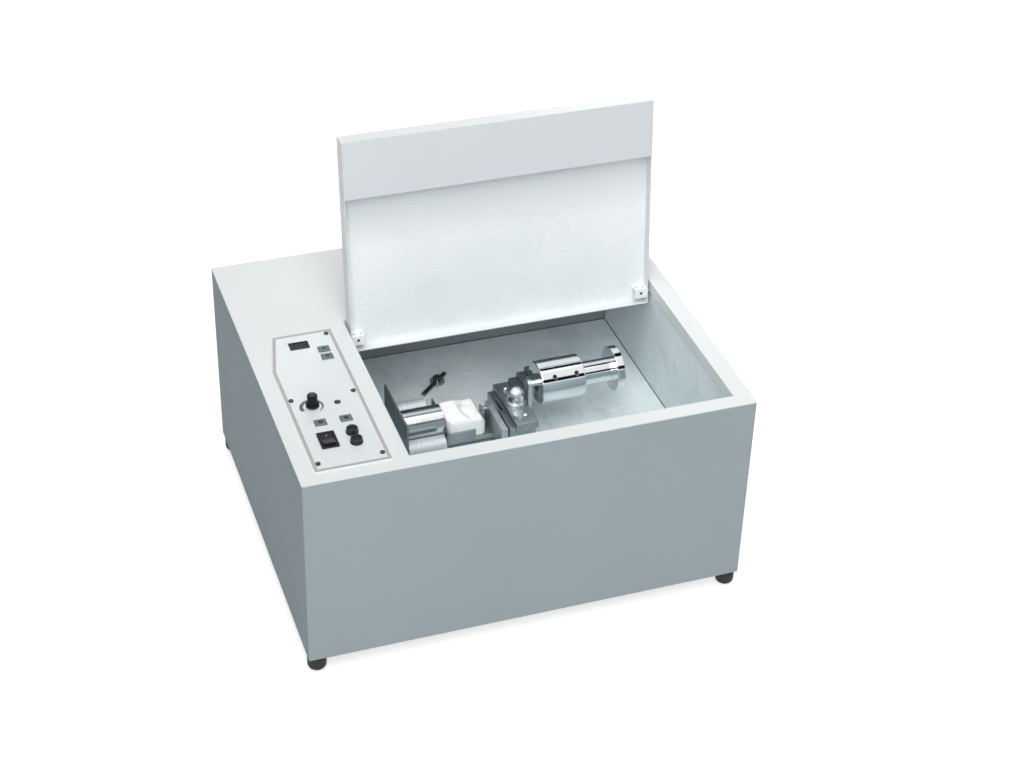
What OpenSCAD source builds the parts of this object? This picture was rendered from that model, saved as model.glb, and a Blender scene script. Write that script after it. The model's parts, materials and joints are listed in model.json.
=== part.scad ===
// Bench-top centrifugal casting machine: a sheet-metal cabinet with a sunken spinning chamber,
// an inset lid, a control panel and a balanced casting arm that turns on a vertical shaft.
// Millimetres, +Z up. X runs left to right, Y runs front to back, and the origin lies on the
// bench at the middle of the footprint.

/* [Cabinet] */
// Width of the cabinet
cabinet_w = 570; // [540:1:620]
// Depth of the cabinet, front to back
cabinet_d = 490; // [470:1:540]
// Height of the cabinet without its feet
cabinet_h = 270; // [255:1:300]
// Thickness of the cabinet's sheet steel
sheet_t = 1.5; // [1:0.1:2]
// Outer radius of the bends at the cabinet's front corners
bend_r = 2.5; // [2.5:0.1:6]
// How far the rear panel sits inside the rear edge
rear_recess = 6; // [5:0.5:12]
// Diameter of a rubber foot
foot_d = 24; // [20:1:36]
// Height of a rubber foot
foot_h = 22; // [16:1:30]
// Radius of a foot's lower edge
foot_edge_r = 7; // [4:0.5:8]
// Distance from a foot's rim to the cabinet's sides
foot_margin = 0.5; // [0:0.5:20]

/* [Chamber] */
// Left edge of the deck opening, from the cabinet's left side
opening_x = 134; // [132:1:140]
// Width of the deck to the right of the opening
deck_right = 23; // [18:0.5:30]
// Front edge of the deck opening, from the cabinet's front
opening_y = 20.5; // [12:0.5:26]
// Depth of the deck opening, front to back
opening_d = 298.5; // [296:0.5:304]
// Depth of the turned-down edge around the opening
flange_drop = 15; // [8:1:16]
// Inside depth of the chamber, front to back
chamber_d = 424; // [400:1:436]
// Depth of the chamber below the deck
chamber_h = 154; // [150:1:165]
// Thickness of the chamber's liner
liner_t = 1.2; // [0.8:0.1:2]
// Thickness of the chamber's floor plate
floor_t = 3; // [2:0.5:6]

/* [Lid] */
// Gap between the lid and the opening at the sides and the front
lid_gap = 3; // [1.5:0.5:5]
// Thickness of the lid
lid_t = 22; // [20:0.5:28]
// Sheet thickness of the lid
lid_sheet = 1.2; // [0.8:0.1:1.6]
// Distance of the hinge axis below the deck
pivot_drop = 15.5; // [14:0.5:17]
// Overhang of the lid's rear edge behind the hinge axis
pivot_overhang = 15.5; // [12:0.5:16]
// Distance of the hinge axis in front of the opening's rear edge
pivot_setback = 23; // [22.5:0.5:30]
// Lean of the open lid past the vertical, in degrees
lid_lean = 5.8; // [3:0.1:10]
// Distance from the lid's outer face to its lining
lid_core = 9; // [6:0.5:10]
// Width of the front band across the lid's inner face
band_w = 76; // [40:1:110]
// Diameter of a hinge pin
hinge_pin_d = 8; // [5:0.5:9]
// Width of a hinge block along its pin
hinge_block_w = 17; // [15:1:30]
// Span of the handle on the lid's outer face
handle_span = 112; // [80:1:200]

/* [Control panel] */
// Left edge of the control panel, from the cabinet's left side
panel_x = 21; // [10:1:24]
// Front edge of the control panel, from the cabinet's front
panel_y = 19.5; // [10:0.5:40]
// Width of the control panel
panel_w = 92.5; // [90:0.5:100]
// Length of the control panel, front to back
panel_l = 283.5; // [280:0.5:320]
// Thickness of the control panel
panel_t = 1.5; // [1:0.1:3]
// Length of the slanted stretch of the panel's left edge
panel_slant_l = 74; // [60:1:80]
// Sideways run of that slanted stretch
panel_slant_w = 17; // [8:1:20]
// Width of the switch bezel
switch_w = 21.5; // [19:0.5:24]
// Length of the switch bezel
switch_l = 31; // [28:0.5:34]
// Width of a push key
key_w = 14.4; // [10:0.2:16]
// Length of a push key
key_l = 11.6; // [8:0.2:13]
// Travel of a push key
key_travel = 1.2; // [0.6:0.1:2]
// Diameter of the knob's skirt
knob_d = 16.5; // [14:0.5:22]
// Height of the knob
knob_h = 16; // [12:0.5:22]
// Diameter of a fuse cap
fuse_cap_d = 14; // [11:0.5:16]
// Height of a fuse cap
fuse_cap_h = 5; // [4:0.5:10]
// Width of the display window
display_w = 23; // [18:0.5:30]
// Length of the display window
display_l = 14; // [10:0.5:20]
// Diameter of the indicator lamp
lamp_d = 8; // [5:0.5:10]

/* [Panel layout] */
// Distance of the switch from the panel's left edge
switch_x = 29.5; // [26:0.5:33]
// Distance of the switch from the panel's front edge
switch_y = 55; // [48:0.5:60]
// Distance of the fuses from the panel's left edge
fuse_x = 61; // [58:0.5:70]
// Distance of the front fuse from the panel's front edge
fuse_y = 42.5; // [30:0.5:48]
// Distance between the two fuses
fuse_pitch = 20; // [18:0.5:24]
// Distance of the start key from the panel's left edge
start_key_x = 30; // [26:0.5:36]
// Distance from the start key to the stop key
stop_key_pitch = 31.5; // [24:0.5:36]
// Distance of the start and stop keys from the panel's front edge
key_row_y = 91.5; // [86:0.5:100]
// Distance of the knob from the panel's left edge
knob_x = 29; // [26:0.5:34]
// Distance of the knob from the panel's front edge
knob_y = 126; // [120:0.5:136]
// Distance of the lamp from the panel's left edge
lamp_x = 60; // [54:0.5:70]
// Distance of the lamp from the panel's front edge
lamp_y = 126.5; // [116:0.5:136]
// Distance of the arrow keys from the panel's right edge
arrow_x = 19.5; // [17:0.5:24]
// Distance of the down key from the panel's rear edge
arrow_y = 59.5; // [54:0.5:66]
// Distance between the two arrow keys
arrow_pitch = 17; // [14:0.5:20]
// Distance of the display from the panel's right edge
display_x = 47.5; // [43:0.5:50]
// Distance of the display from the panel's rear edge
display_y = 26.5; // [20:0.5:30]

/* [Casting arm] */
// Angle of the arm at rest, in degrees from the cabinet's width
arm_angle = 1; // [-5:0.5:5]
// Clearance between the arm's beam and the chamber floor
arm_clearance = 11; // [10.5:0.5:14]
// Thickness of the arm's beam
beam_t = 6; // [5:0.5:10]
// Width of the arm's beam
beam_w = 46; // [30:1:60]
// Diameter of the drive shaft
shaft_d = 20; // [16:1:24]
// Width of the hub bar along the arm
hub_bar_w = 30; // [26:1:36]
// Length of the hub bar across the arm
hub_bar_l = 95; // [80:1:110]
// Thickness of the hub bar
hub_bar_t = 10; // [6:0.5:14]
// Diameter of the domed hub nut
nut_d = 23; // [20:0.5:26]
// Height of the domed hub nut
nut_h = 25; // [20:0.5:30]
// Diameter of the flask
flask_d = 41; // [30:0.5:44]
// Length of the flask
flask_l = 57.5; // [50:0.5:64]
// Wall of the flask
flask_wall = 2; // [1.2:0.1:3]
// Length of the crucible
crucible_l = 52; // [46:1:58]
// Width of the crucible
crucible_w = 48; // [42:1:56]
// Height of the crucible
crucible_h = 33; // [30:1:48]
// Distance of the hood's crest from the crucible's pouring end
hood_at = 19; // [12:0.5:22]
// Fall of the hood from its crest to the pouring end
hood_fall = 6; // [2:0.5:10]
// Rise of the hood above the crucible's rear end
hood_rise = 8; // [3:0.5:9]
// Radius of the crucible's rounded shoulders
crucible_shoulder = 12; // [10:0.5:20]
// Diameter of the crucible's melting bowl
bowl_d = 26; // [18:0.5:32]
// Thickness of the crucible's floor
crucible_floor_t = 7; // [4:0.5:9]
// Travel of the crucible carriage towards the hub
carriage_travel = 6; // [3:0.5:8]
// Width of the flask's end plate
end_plate_w = 100; // [96:1:110]
// Height of the end plate's top above the arm's beam
end_plate_h = 56; // [50:1:60]
// Diameter of a cradle tube
cradle_tube_d = 24; // [14:1:26]
// Length of a cradle tube
cradle_tube_l = 50; // [30:1:56]
// Diameter of the counterweight
weight_d = 57; // [50:1:64]
// Length of the counterweight
weight_l = 60; // [50:1:70]
// Travel of the counterweight along its rod
weight_travel = 42; // [20:1:44]
// Diameter of the counterweight's rod
rod_d = 32; // [20:1:36]
// Height of the rod's axis above the arm's beam
rod_rise = 50.5; // [46:0.5:54]
// Diameter of the rod's end flange
flange_d = 60; // [40:1:64]
// Thickness of the rod's end flange
flange_t = 11; // [6:0.5:16]

/* [Arm latch] */
// Place of the latch to the left of the shaft
latch_left = 66.5; // [40:0.5:80]
// Place of the latch behind the shaft
latch_back = 130; // [115:0.5:140]
// Height of the latch above the chamber floor
latch_h = 9.5; // [7:0.1:10]
// Diameter of the latch's base collar
latch_base_d = 20; // [14:0.5:26]
// Length of the latch's cross bar
latch_bar_l = 57; // [40:1:70]
// Diameter of the latch's cross bar
latch_bar_d = 6; // [3:0.5:7]
// Diameter of the latch's pin in the floor plate
latch_pin_d = 8; // [5:0.5:10]

/* [Drive] */
// Diameter of the motor
motor_d = 104; // [80:1:120]
// Height of the motor
motor_h = 66; // [50:1:74]

/* [Fits] */
// Radial clearance of a running fit
running_gap = 0.05; // [0.02:0.01:0.1]
// Clearance between pieces that move past each other
slide_gap = 0.3; // [0.2:0.05:0.5]
// Clearance of a control in its cut-out
control_gap = 0.4; // [0.3:0.05:0.6]

/* [Hidden] */
$fn = 72;

// A small overcut, so that cutters pass the faces they cut
cut = 1;

// Places in the cabinet's own frame: its front lower left corner is the zero point
deck_z = cabinet_h;
deck_under = deck_z - sheet_t;
open_x0 = opening_x;
open_x1 = cabinet_w - deck_right;
open_y0 = opening_y;
open_y1 = opening_y + opening_d;
liner_x0 = open_x0 - sheet_t;
liner_x1 = open_x1 + sheet_t;
liner_y0 = open_y0 - sheet_t;
liner_y1 = liner_y0 + chamber_d;
floor_z = deck_z - chamber_h;
floor_under = floor_z - floor_t;
hub_x = (liner_x0 + liner_x1) / 2;
hub_y = (liner_y0 + liner_y1) / 2;
rear_y = cabinet_d - rear_recess - sheet_t;
wall_lip = 14;
vent_pitch = 14;
vent_w = 5;
base_vents = 9;
base_vent_l = 70;
rear_vents = 14;
rear_vent_l = 46;
rear_vent_z = 70;
rear_vent_rise = 60;
foot_at = foot_margin + foot_d / 2;
foot_top_r = 3;
foot_neck_d = 15;
foot_neck_h = 3;
support_w = 30;
support_t = 2;
support_inset = 22;
support_end = 10;

// Lid in its closed place
lid_x0 = open_x0 + lid_gap;
lid_x1 = open_x1 - lid_gap;
lid_y0 = open_y0 + lid_gap;
pivot_y = open_y1 - pivot_setback;
pivot_z = deck_z - pivot_drop;
lid_y1 = pivot_y + pivot_overhang;
lid_edge_z = deck_z - lid_t;
lid_liner_t = 0.8;
lid_inside_z = deck_z - lid_core;
hinge_block_l = 13;
block_screw_d = 4;
block_screw_depth = 2;
hinge_pin_reach = 15;
hinge_lug_t = 8;
hinge_lug_w = 22;
buffer_w = 18;
buffer_l = 14;
buffer_h = 16;
buffer_r = 4;
buffer_nose_d = 10;
buffer_inset = 70;
// Distance of the open lid's outer face behind the pivot, at the top of the buffers' noses
buffer_nose_top = pivot_drop + buffer_h / 2 + buffer_nose_d / 2;
lid_open_reach = pivot_drop / cos(lid_lean) + buffer_nose_top * tan(lid_lean);
handle_rise = 34;
handle_bar_t = 9;
handle_w = 16;
handle_r = 4;
handle_foot_w = 20;
handle_inset = 40;

// Control panel
panel_top = deck_z + panel_t;
panel_x1 = panel_x + panel_w;
panel_y1 = panel_y + panel_l;
screw_right = 8;
screw_left = 7;
screw_front = 14;
screw_rear = 9.5;
screw_right_x = panel_x1 - screw_right;
screw_left_x = panel_x + screw_left;
screw_front_y = panel_y + screw_front;
screw_rear_y = panel_y1 - screw_rear;
screw_mid_y = (screw_front_y + screw_rear_y) / 2;
panel_screw_d = 6;
panel_screw_rise = 1.6;
panel_screw_edge = 0.6;
panel_socket_d = 2.6;
panel_socket_depth = 0.8;
switch_at = [panel_x + switch_x, panel_y + switch_y];
fuse_at = [panel_x + fuse_x, panel_y + fuse_y];
start_at = [panel_x + start_key_x, panel_y + key_row_y];
stop_at = [start_at.x + stop_key_pitch, start_at.y];
knob_at = [panel_x + knob_x, panel_y + knob_y];
lamp_at = [panel_x + lamp_x, panel_y + lamp_y];
down_at = [panel_x1 - arrow_x, panel_y1 - arrow_y];
up_at = [down_at.x, down_at.y + arrow_pitch];
display_at = [panel_x1 - display_x, panel_y1 - display_y];
key_places = [up_at, down_at, start_at, stop_at];
key_proud = 1.6;
key_h = 8;
key_edge = 0.5;
key_corner_r = 0.8;
key_mark_d = 6.6;
key_mark_depth = 0.3;
key_stem_d = 5;
key_stem_l = 6;
key_stem_foot = panel_top + key_proud - key_h - key_stem_l;
key_switch_w = 9;
board_drop = 34;
board_z = deck_z - board_drop;
board_t = 1.6;
board_margin = 4;
board_front = 16;
board_post_d = 6;
board_post_inset = 5;
display_proud = 0.6;
display_depth = 10;
display_rim = 1;
display_lap = 0.8;
lamp_stem_d = lamp_d - 1;
lamp_stem_l = 9;
lamp_edge_h = 0.8;
lamp_dome_h = 1.2;
lamp_dome_r = (lamp_d * lamp_d / 4 + lamp_dome_h * lamp_dome_h) / (2 * lamp_dome_h);
switch_flange_t = 2;
switch_wall = 1.5;
switch_corner_r = 1.5;
switch_depth = 24;
rocker_tilt = 8;
rocker_proud = 3.2;
rocker_edge_h = 4;
rocker_foot_w = 6;
rocker_foot_drop = 5;
rocker_axis_drop = 3;
rocker_axle_d = 3;
rocker_axle_inset = 1.8;
knob_shaft_d = 6;
knob_bush_d = 9;
knob_skirt_h = 3.5;
knob_grip_d = 12.5;
knob_edge = 1;
knob_lift = 1.5;
knob_flutes = 16;
flute_d = 1.6;
flute_depth = 0.6;
pot_d = 17;
pot_h = 10;
pot_floor_t = 2;
pot_clearance = 2;
fuse_ring_t = 2;
fuse_ring_lip = 0.75;
fuse_neck_d = 9;
fuse_wall = 1.5;
fuse_body_d = fuse_neck_d + 2 * fuse_wall;
fuse_body_l = 40;
fuse_floor_t = 3;
fuse_cap_edge = 1.2;
fuse_slot_w = 1.8;
fuse_slot_depth = 1.4;
fuse_stem_l = 24;
interlock_t = 12;
interlock_l = 34;
interlock_h = 20;
interlock_drop = 4;
interlock_setback = 36;

// Casting arm: u runs along the arm, zero at the shaft, and the flask is at negative u
beam_z = floor_z + arm_clearance;
beam_top = beam_z + beam_t;
hub_block_h = 15;
hub_bar_z = beam_top + hub_block_h;
hub_bar_top = hub_bar_z + hub_bar_t;
hub_block_l = 76;
ledge_w = 8;
ledge_h = 2;
ledge_over = 6;
ledge_slot_at = 14;
ledge_slot_l = 28;
ledge_slot_wide = 5;
ledge_slot_narrow = 1.2;
ledge_slot_depth = 8;
hub_cap_d = 18;
hub_cap_t = 2.5;
hub_cap_side = -4;
hub_cap_inset = 19;
hub_cap_at = [hub_cap_side, hub_cap_inset - hub_bar_l / 2];
hub_screw_d = 9;
hub_screw_inset = 16;
hub_screw_front = [2, hub_screw_inset - hub_bar_l / 2];
hub_screw_rear = [-3, hub_bar_l / 2 - hub_screw_inset];
guide_t = 8;
guide_gap = 9;
guide_u1 = -hub_bar_w / 2 - ledge_w - guide_gap;
guide_u0 = guide_u1 - guide_t;
guide_h = 31;
guide_front = 60;
guide_back = 8;
push_pin_d = 7;
push_pin_rise = 24.5;
push_pin_l = 19;
plate_t = 2;
tray_t = 2;
tray_z = beam_top + slide_gap;
tray_wall_h = 13.5;
tray_wall_l = 37;
tray_tab_w = 14;
crucible_u1 = guide_u0 - carriage_travel - tray_t - slide_gap;
crucible_u0 = crucible_u1 - crucible_l;
crucible_mid_u = (crucible_u0 + crucible_u1) / 2;
crucible_corner_r = 8;
crucible_rear_h = crucible_h - hood_rise;
crucible_end_run = 6;
crucible_end_fall = 9;
hood_run = 13;
bowl_end_wall = 5;
bowl_u = crucible_u1 - bowl_end_wall - bowl_d / 2;
pour_hole_d = 9;
crucible_z = tray_z + tray_t + slide_gap;
nozzle_gap = 1;
nozzle_u1 = crucible_u0 - nozzle_gap;
nozzle_u0 = nozzle_u1 - plate_t;
flask_u1 = nozzle_u0 - slide_gap;
flask_u0 = flask_u1 - flask_l;
end_plate_u1 = flask_u0 - slide_gap;
end_plate_u0 = end_plate_u1 - plate_t;
saddle_wall = 2.5;
saddle_drop = 8;
flask_rise = 6.5;
flask_z = beam_z + flask_rise + flask_d / 2;
mould_recess = 1;
funnel_d = 24;
funnel_throat_d = 4;
funnel_l = 16;
nozzle_front = 28;
nozzle_back = 38;
nozzle_h = 28;
nozzle_dip = 8;
nozzle_dip_d = 84;
nozzle_hole_d = 14;
tube_overhang = 4;
tube_offset = end_plate_w / 2 - cradle_tube_d / 2 + tube_overhang;
tube_rise = 14;
tube_z = beam_top + tube_rise;
tube_wall = 2;
tube_plug_l = 10;
nut_collar_d = 28;
nut_collar_h = 4;
thread_d = 14;
thread_l = 14;
shaft_shoulder = 2;
shaft_seat_d = shaft_d - 2 * shaft_shoulder;
bracket_t = 5;
bracket_u0 = hub_bar_w / 2;
bracket_u1 = bracket_u0 + bracket_t;
bracket_boss_d = 14;
bracket_back = 10;
spigot_d = 10;
spigot_l = 7.5;
rod_z = beam_top + rod_rise;
weight_u0 = bracket_u1 + spigot_l;
weight_u1 = weight_u0 + weight_l;
rod_spare = 2;
rod_u1 = weight_u1 + weight_travel + rod_spare;
weight_edge = 2;
flange_edge = 1;
step_inset = 2;
step_back = hub_bar_l / 2 - step_inset;
step_front = weight_d / 2 + step_inset;
step_run = 11;
step_rise = 7;
step_lap = 9;
step_nut_gap = 2;
step_nose = nut_collar_d / 2 + step_nut_gap;
step_weight_gap = 3.5;
step_end = weight_u0 - step_weight_gap;
step_u0 = hub_bar_w / 2 - step_lap;
beam_u0 = nozzle_u1;
set_screw_d = 6;
set_screw_turn = 47;
set_screw_inset = 2;
set_screw_socket_d = 3.4;
set_screw_socket_h = 2;
set_screw_left = 18;
set_screw_right = 12;
set_screw_places = [weight_u0 + set_screw_left, weight_u1 - set_screw_right];
set_screw_l = weight_d / 2 - rod_d / 2 - set_screw_inset;

// Arm latch
latch_at = [hub_x - latch_left, hub_y + latch_back];
latch_collar_h = 3;
latch_neck_d = 11;
latch_socket_d = 5;
latch_socket_h = 3;
latch_turn = 43;
latch_short_share = 19;

// Drive below the chamber
housing_d = 60;
housing_h = 20;
housing_flange_d = 96;
housing_flange_t = 6;
bearing_d = 42;
bearing_t = 12;
motor_top = floor_under - housing_h;
motor_bottom = motor_top - motor_h;
motor_waist = 6;
bell_h = 12;
bell_end = 8;
ribs = 24;
rib_t = 2.4;
rib_sink = 2;
rib_short = 1.5;
bearing_seat = 8;
bearing_cover = 2;
bearing_shield = 4;
bearing_groove = 1;
housing_foot_d = 90;
housing_foot_t = 5;
shaft_end_gap = 6;
shaft_bottom = motor_bottom + shaft_end_gap;
shaft_pass = 1;
shaft_well = 4;
lower_bearing_z = motor_bottom + bearing_seat;
upper_bearing_z = floor_under - bearing_t - bearing_cover;

// Mains inlet and motor control unit
inlet_w = 48;
inlet_l = 28;
inlet_ear = 8;
inlet_lip = 2;
inlet_corner_r = 3;
inlet_body_w = inlet_w - 2 * inlet_ear;
inlet_body_l = inlet_l - 2 * inlet_lip;
inlet_x = 90;
inlet_z = 62;
inlet_flange_t = 3;
inlet_depth = 26;
inlet_screw_d = 3.4;
inlet_screw_pitch = 40;
socket_w = 24;
socket_l = 16.5;
socket_depth = 17;
blade_w = 2;
blade_h = 4;
blade_l = 10;
blade_places = [[-7, 2], [0, -2], [7, 2]];
unit_x = 30;
unit_y = 190;
unit_w = 80;
unit_l = 130;
unit_h = 26;
fins = 8;
fin_t = 3;
fin_h = 18;
fin_margin = 4;
fin_pitch = (unit_w - 2 * fin_margin - fin_t) / (fins - 1);

// Moves the children from the cabinet's frame to the part's frame
module in_cabinet()
  translate([-cabinet_w / 2, -cabinet_d / 2, foot_h]) children();

// Moves the children from the arm's frame to the part's frame
module in_arm()
  in_cabinet() translate([hub_x, hub_y, 0]) rotate([0, 0, arm_angle]) children();

// Turns the children from the closed lid to its open place at rest
module in_open_lid()
  in_cabinet() translate([0, pivot_y, pivot_z]) rotate([-90 - lid_lean, 0, 0])
    translate([0, -pivot_y, -pivot_z]) children();

// A box from one corner to the opposite one
module box(low, high)
  translate(low) cube(high - low);

// A cylinder along X from u0 to u1
module rod_along_x(d, u0, u1)
  translate([u0, 0, 0]) rotate([0, 90, 0]) cylinder(d = d, h = u1 - u0);

// An upright plate outline with rounded corners, extruded from z0 to z1
module rounded_block(w, l, r, z0, z1)
  translate([0, 0, z0]) linear_extrude(z1 - z0) rounded_outline(w, l, r);

// A rectangle with rounded corners, centred on its middle
module rounded_outline(w, l, r)
  union() {
    square([w - 2 * r, l], center = true);
    square([w, l - 2 * r], center = true);
    for (sx = [-1, 1], sy = [-1, 1])
      translate([sx * (w / 2 - r), sy * (l / 2 - r)]) circle(r);
  }

// Half the section of a disc whose upper edge is rounded, for turning
module edged_disc(d, h, r)
  union() {
    square([d / 2 - r, h]);
    square([d / 2, h - r]);
    translate([d / 2 - r, h - r]) circle(r);
  }

// Half the section of a drum whose two edges are rounded, for turning
module edged_drum(d, h, r)
  union() {
    square([d / 2 - r, h]);
    translate([0, r]) square([d / 2, h - 2 * r]);
    for (z = [r, h - r]) translate([d / 2 - r, z]) circle(r);
  }

// A slot along Y with round ends, for cutting
module slot_outline(w, l)
  union() {
    square([w, l - w], center = true);
    for (s = [-1, 1]) translate([0, s * (l - w) / 2]) circle(d = w);
  }

// The cabinet's plan, with its two front corners rounded and its walls set in by a margin
module cabinet_plan(margin, rear)
  intersection() {
    translate([cabinet_w / 2, rear])
      rounded_outline(cabinet_w - 2 * margin, 2 * (rear - margin), bend_r - margin);
    square([cabinet_w, rear]);
  }

// The wrap of front and side walls, with folded lips at the rear
module cabinet_shell() color("#9ca7ab") in_cabinet() {
  linear_extrude(deck_under) difference() {
    cabinet_plan(0, cabinet_d);
    cabinet_plan(sheet_t, cabinet_d + cut);
  }
  for (x = [sheet_t, cabinet_w - sheet_t - wall_lip])
    box([x, rear_y - sheet_t, sheet_t], [x + wall_lip, rear_y, deck_under]);
}

// The deck, with the chamber opening and its turned-down edge
module top_deck() color("#e4e8e9") in_cabinet() difference() {
  union() {
    translate([0, 0, deck_under]) linear_extrude(sheet_t) cabinet_plan(0, cabinet_d);
    box([liner_x0, liner_y0, deck_z - flange_drop], [liner_x1, open_y1 + sheet_t, deck_z]);
  }
  box([open_x0, open_y0, 0], [open_x1, open_y1, deck_z + cut]);
  hinge_pin_bore(liner_x0 - cut, liner_x1 + cut);
  control_cutouts(deck_under - cut, deck_z + cut);
}

// The hinge pins' bore along X, for cutting
module hinge_pin_bore(x0, x1)
  translate([0, pivot_y, pivot_z]) rod_along_x(hinge_pin_d + 2 * running_gap, x0, x1);

// Openings that the controls pass through, in the deck and in the panel
module control_cutouts(z0, z1) {
  for (p = key_places)
    translate(p) rounded_block(key_w + 2 * control_gap, key_l + 2 * control_gap, key_corner_r, z0, z1);
  translate([switch_at.x, switch_at.y, z0]) linear_extrude(z1 - z0) switch_body_outline();
  for (i = [0, 1]) round_cutout([fuse_at.x, fuse_at.y + i * fuse_pitch], fuse_body_d, z0, z1);
  round_cutout(knob_at, knob_bush_d, z0, z1);
  round_cutout(lamp_at, lamp_stem_d, z0, z1);
  translate([display_at.x, display_at.y, z0]) linear_extrude(z1 - z0)
    square([display_w, display_l], center = true);
}

// A round cut-out with a fit's clearance
module round_cutout(place, d, z0, z1)
  translate([place.x, place.y, z0]) cylinder(d = d + 2 * running_gap, h = z1 - z0);

// The bottom plate, with air slots below the motor
module base_plate() color("#8f979b") in_cabinet() difference() {
  box([sheet_t, sheet_t, 0], [cabinet_w - sheet_t, rear_y + sheet_t, sheet_t]);
  for (i = [0:base_vents - 1])
    translate([hub_x + (i - (base_vents - 1) / 2) * vent_pitch, hub_y, -cut])
      linear_extrude(sheet_t + 2 * cut) slot_outline(vent_w, base_vent_l);
}

// The rear panel, with its air slots and the cut-out for the mains inlet
module rear_panel() color("#dfe4e6") in_cabinet() difference() {
  box([sheet_t, rear_y, sheet_t], [cabinet_w - sheet_t, rear_y + sheet_t, deck_under]);
  for (row = [0, 1], i = [0:rear_vents - 1])
    translate([hub_x + (i - (rear_vents - 1) / 2) * vent_pitch, rear_y - cut,
               rear_vent_z + row * rear_vent_rise])
      rotate([-90, 0, 0]) linear_extrude(sheet_t + 2 * cut) slot_outline(vent_w, rear_vent_l);
  translate([inlet_x, rear_y - cut, inlet_z]) rotate([-90, 0, 0])
    linear_extrude(sheet_t + 2 * cut) square([inlet_body_w, inlet_body_l], center = true);
}

// Four moulded feet: a body with a well rounded lower edge, under a narrower neck
module rubber_feet() color("#1d2022") in_cabinet()
  for (x = [foot_at, cabinet_w - foot_at], y = [foot_at, cabinet_d - foot_at])
    translate([x, y, -foot_h]) rotate_extrude() foot_profile();

module foot_profile() {
  r = foot_d / 2;
  body_h = foot_h - foot_neck_h;
  union() {
    square([r - foot_edge_r, body_h]);
    half_disc(r - foot_edge_r, foot_edge_r, foot_edge_r);
    translate([0, foot_edge_r]) square([r, body_h - foot_edge_r - foot_top_r]);
    translate([0, foot_edge_r]) square([r - foot_top_r, body_h - foot_edge_r]);
    half_disc(r - foot_top_r, body_h - foot_top_r, foot_top_r);
    translate([0, foot_edge_r]) square([foot_neck_d / 2, foot_h - foot_edge_r]);
  }
}

// The outer half of a disc at a place in a turned section
module half_disc(x, z, r)
  intersection() {
    translate([x, z]) circle(r);
    translate([x, z - r]) square([r, 2 * r]);
  }

// The chamber's four walls, which stand on the floor plate
module chamber_liner() color("#a9b3b6") in_cabinet() difference() {
  box([liner_x0 - liner_t, liner_y0 - liner_t, floor_z],
      [liner_x1 + liner_t, liner_y1 + liner_t, deck_under]);
  box([liner_x0, liner_y0, floor_z - cut], [liner_x1, liner_y1, deck_under + cut]);
  hinge_pin_bore(liner_x0 - 2 * liner_t, liner_x1 + 2 * liner_t);
}

// The chamber's floor plate, with the shaft's hole and the latch's bore
module chamber_floor() color("#9fabaf") in_cabinet() difference() {
  box([liner_x0 - liner_t, liner_y0 - liner_t, floor_under],
      [liner_x1 + liner_t, liner_y1 + liner_t, floor_z]);
  translate([hub_x, hub_y, floor_under - cut])
    cylinder(d = shaft_d + 2 * shaft_pass, h = floor_t + 2 * cut);
  translate([latch_at.x, latch_at.y, floor_under - cut])
    cylinder(d = latch_pin_d + 2 * running_gap, h = floor_t + 2 * cut);
}

// Two folded channels that carry the floor plate above the bottom plate
module floor_supports() color("#8f979b") in_cabinet()
  for (side = [0, 1]) {
    x0 = side == 0 ? liner_x0 + support_inset : liner_x1 - support_inset - support_w;
    web_x = side == 0 ? x0 : x0 + support_w - support_t;
    y0 = liner_y0 + support_end;
    y1 = liner_y1 - support_end;
    box([x0, y0, sheet_t], [x0 + support_w, y1, sheet_t + support_t]);
    box([web_x, y0, sheet_t], [web_x + support_t, y1, floor_under]);
    box([x0, y0, floor_under - support_t], [x0 + support_w, y1, floor_under]);
  }

// Two rubber buffers behind the opening, each with a nose that the open lid leans on
module lid_stop_buffers() color("#232628") in_cabinet()
  for (x = [lid_x0 + buffer_inset, lid_x1 - buffer_inset]) translate([x, 0, deck_z]) {
    nose_y = pivot_y + lid_open_reach + slide_gap;
    block_y = open_y1 + sheet_t + cut;
    translate([0, block_y + buffer_l / 2, 0]) rounded_block(buffer_w, buffer_l, buffer_r, 0, buffer_h);
    translate([0, nose_y, buffer_h / 2]) rotate([-90, 0, 0])
      cylinder(d = buffer_nose_d, h = block_y - nose_y + buffer_l / 2);
  }

// Two pins on the hinge axis, held by lugs outside the liner
module hinge_pins() color("#c4c9cb") in_cabinet() translate([0, pivot_y, pivot_z]) {
  pin_outside = liner_t + hinge_lug_t;
  pin_inside = sheet_t + lid_gap + hinge_pin_reach;
  rod_along_x(hinge_pin_d, liner_x0 - pin_outside, liner_x0 + pin_inside);
  rod_along_x(hinge_pin_d, liner_x1 - pin_inside, liner_x1 + pin_outside);
}

module hinge_lugs() color("#8f979b") in_cabinet()
  for (x = [liner_x0 - liner_t - hinge_lug_t, liner_x1 + liner_t]) difference() {
    box([x, pivot_y - hinge_lug_w / 2, pivot_z - hinge_lug_w / 2],
        [x + hinge_lug_t, pivot_y + hinge_lug_w / 2, deck_under]);
    hinge_pin_bore(x - cut, x + hinge_lug_t + cut);
  }

// The lid's folded pan: a skin with a rim on all four sides
module lid_pan() color("#e4e8e9") in_open_lid() difference() {
  box([lid_x0, lid_y0, lid_edge_z], [lid_x1, lid_y1, deck_z]);
  box([lid_x0 + lid_sheet, lid_y0 + lid_sheet, lid_edge_z - cut],
      [lid_x1 - lid_sheet, lid_y1 - lid_sheet, deck_z - lid_sheet]);
  translate([0, pivot_y, pivot_z])
    rod_along_x(hinge_pin_d + 2 * slide_gap, lid_x0 - cut, lid_x1 + cut);
}

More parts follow.
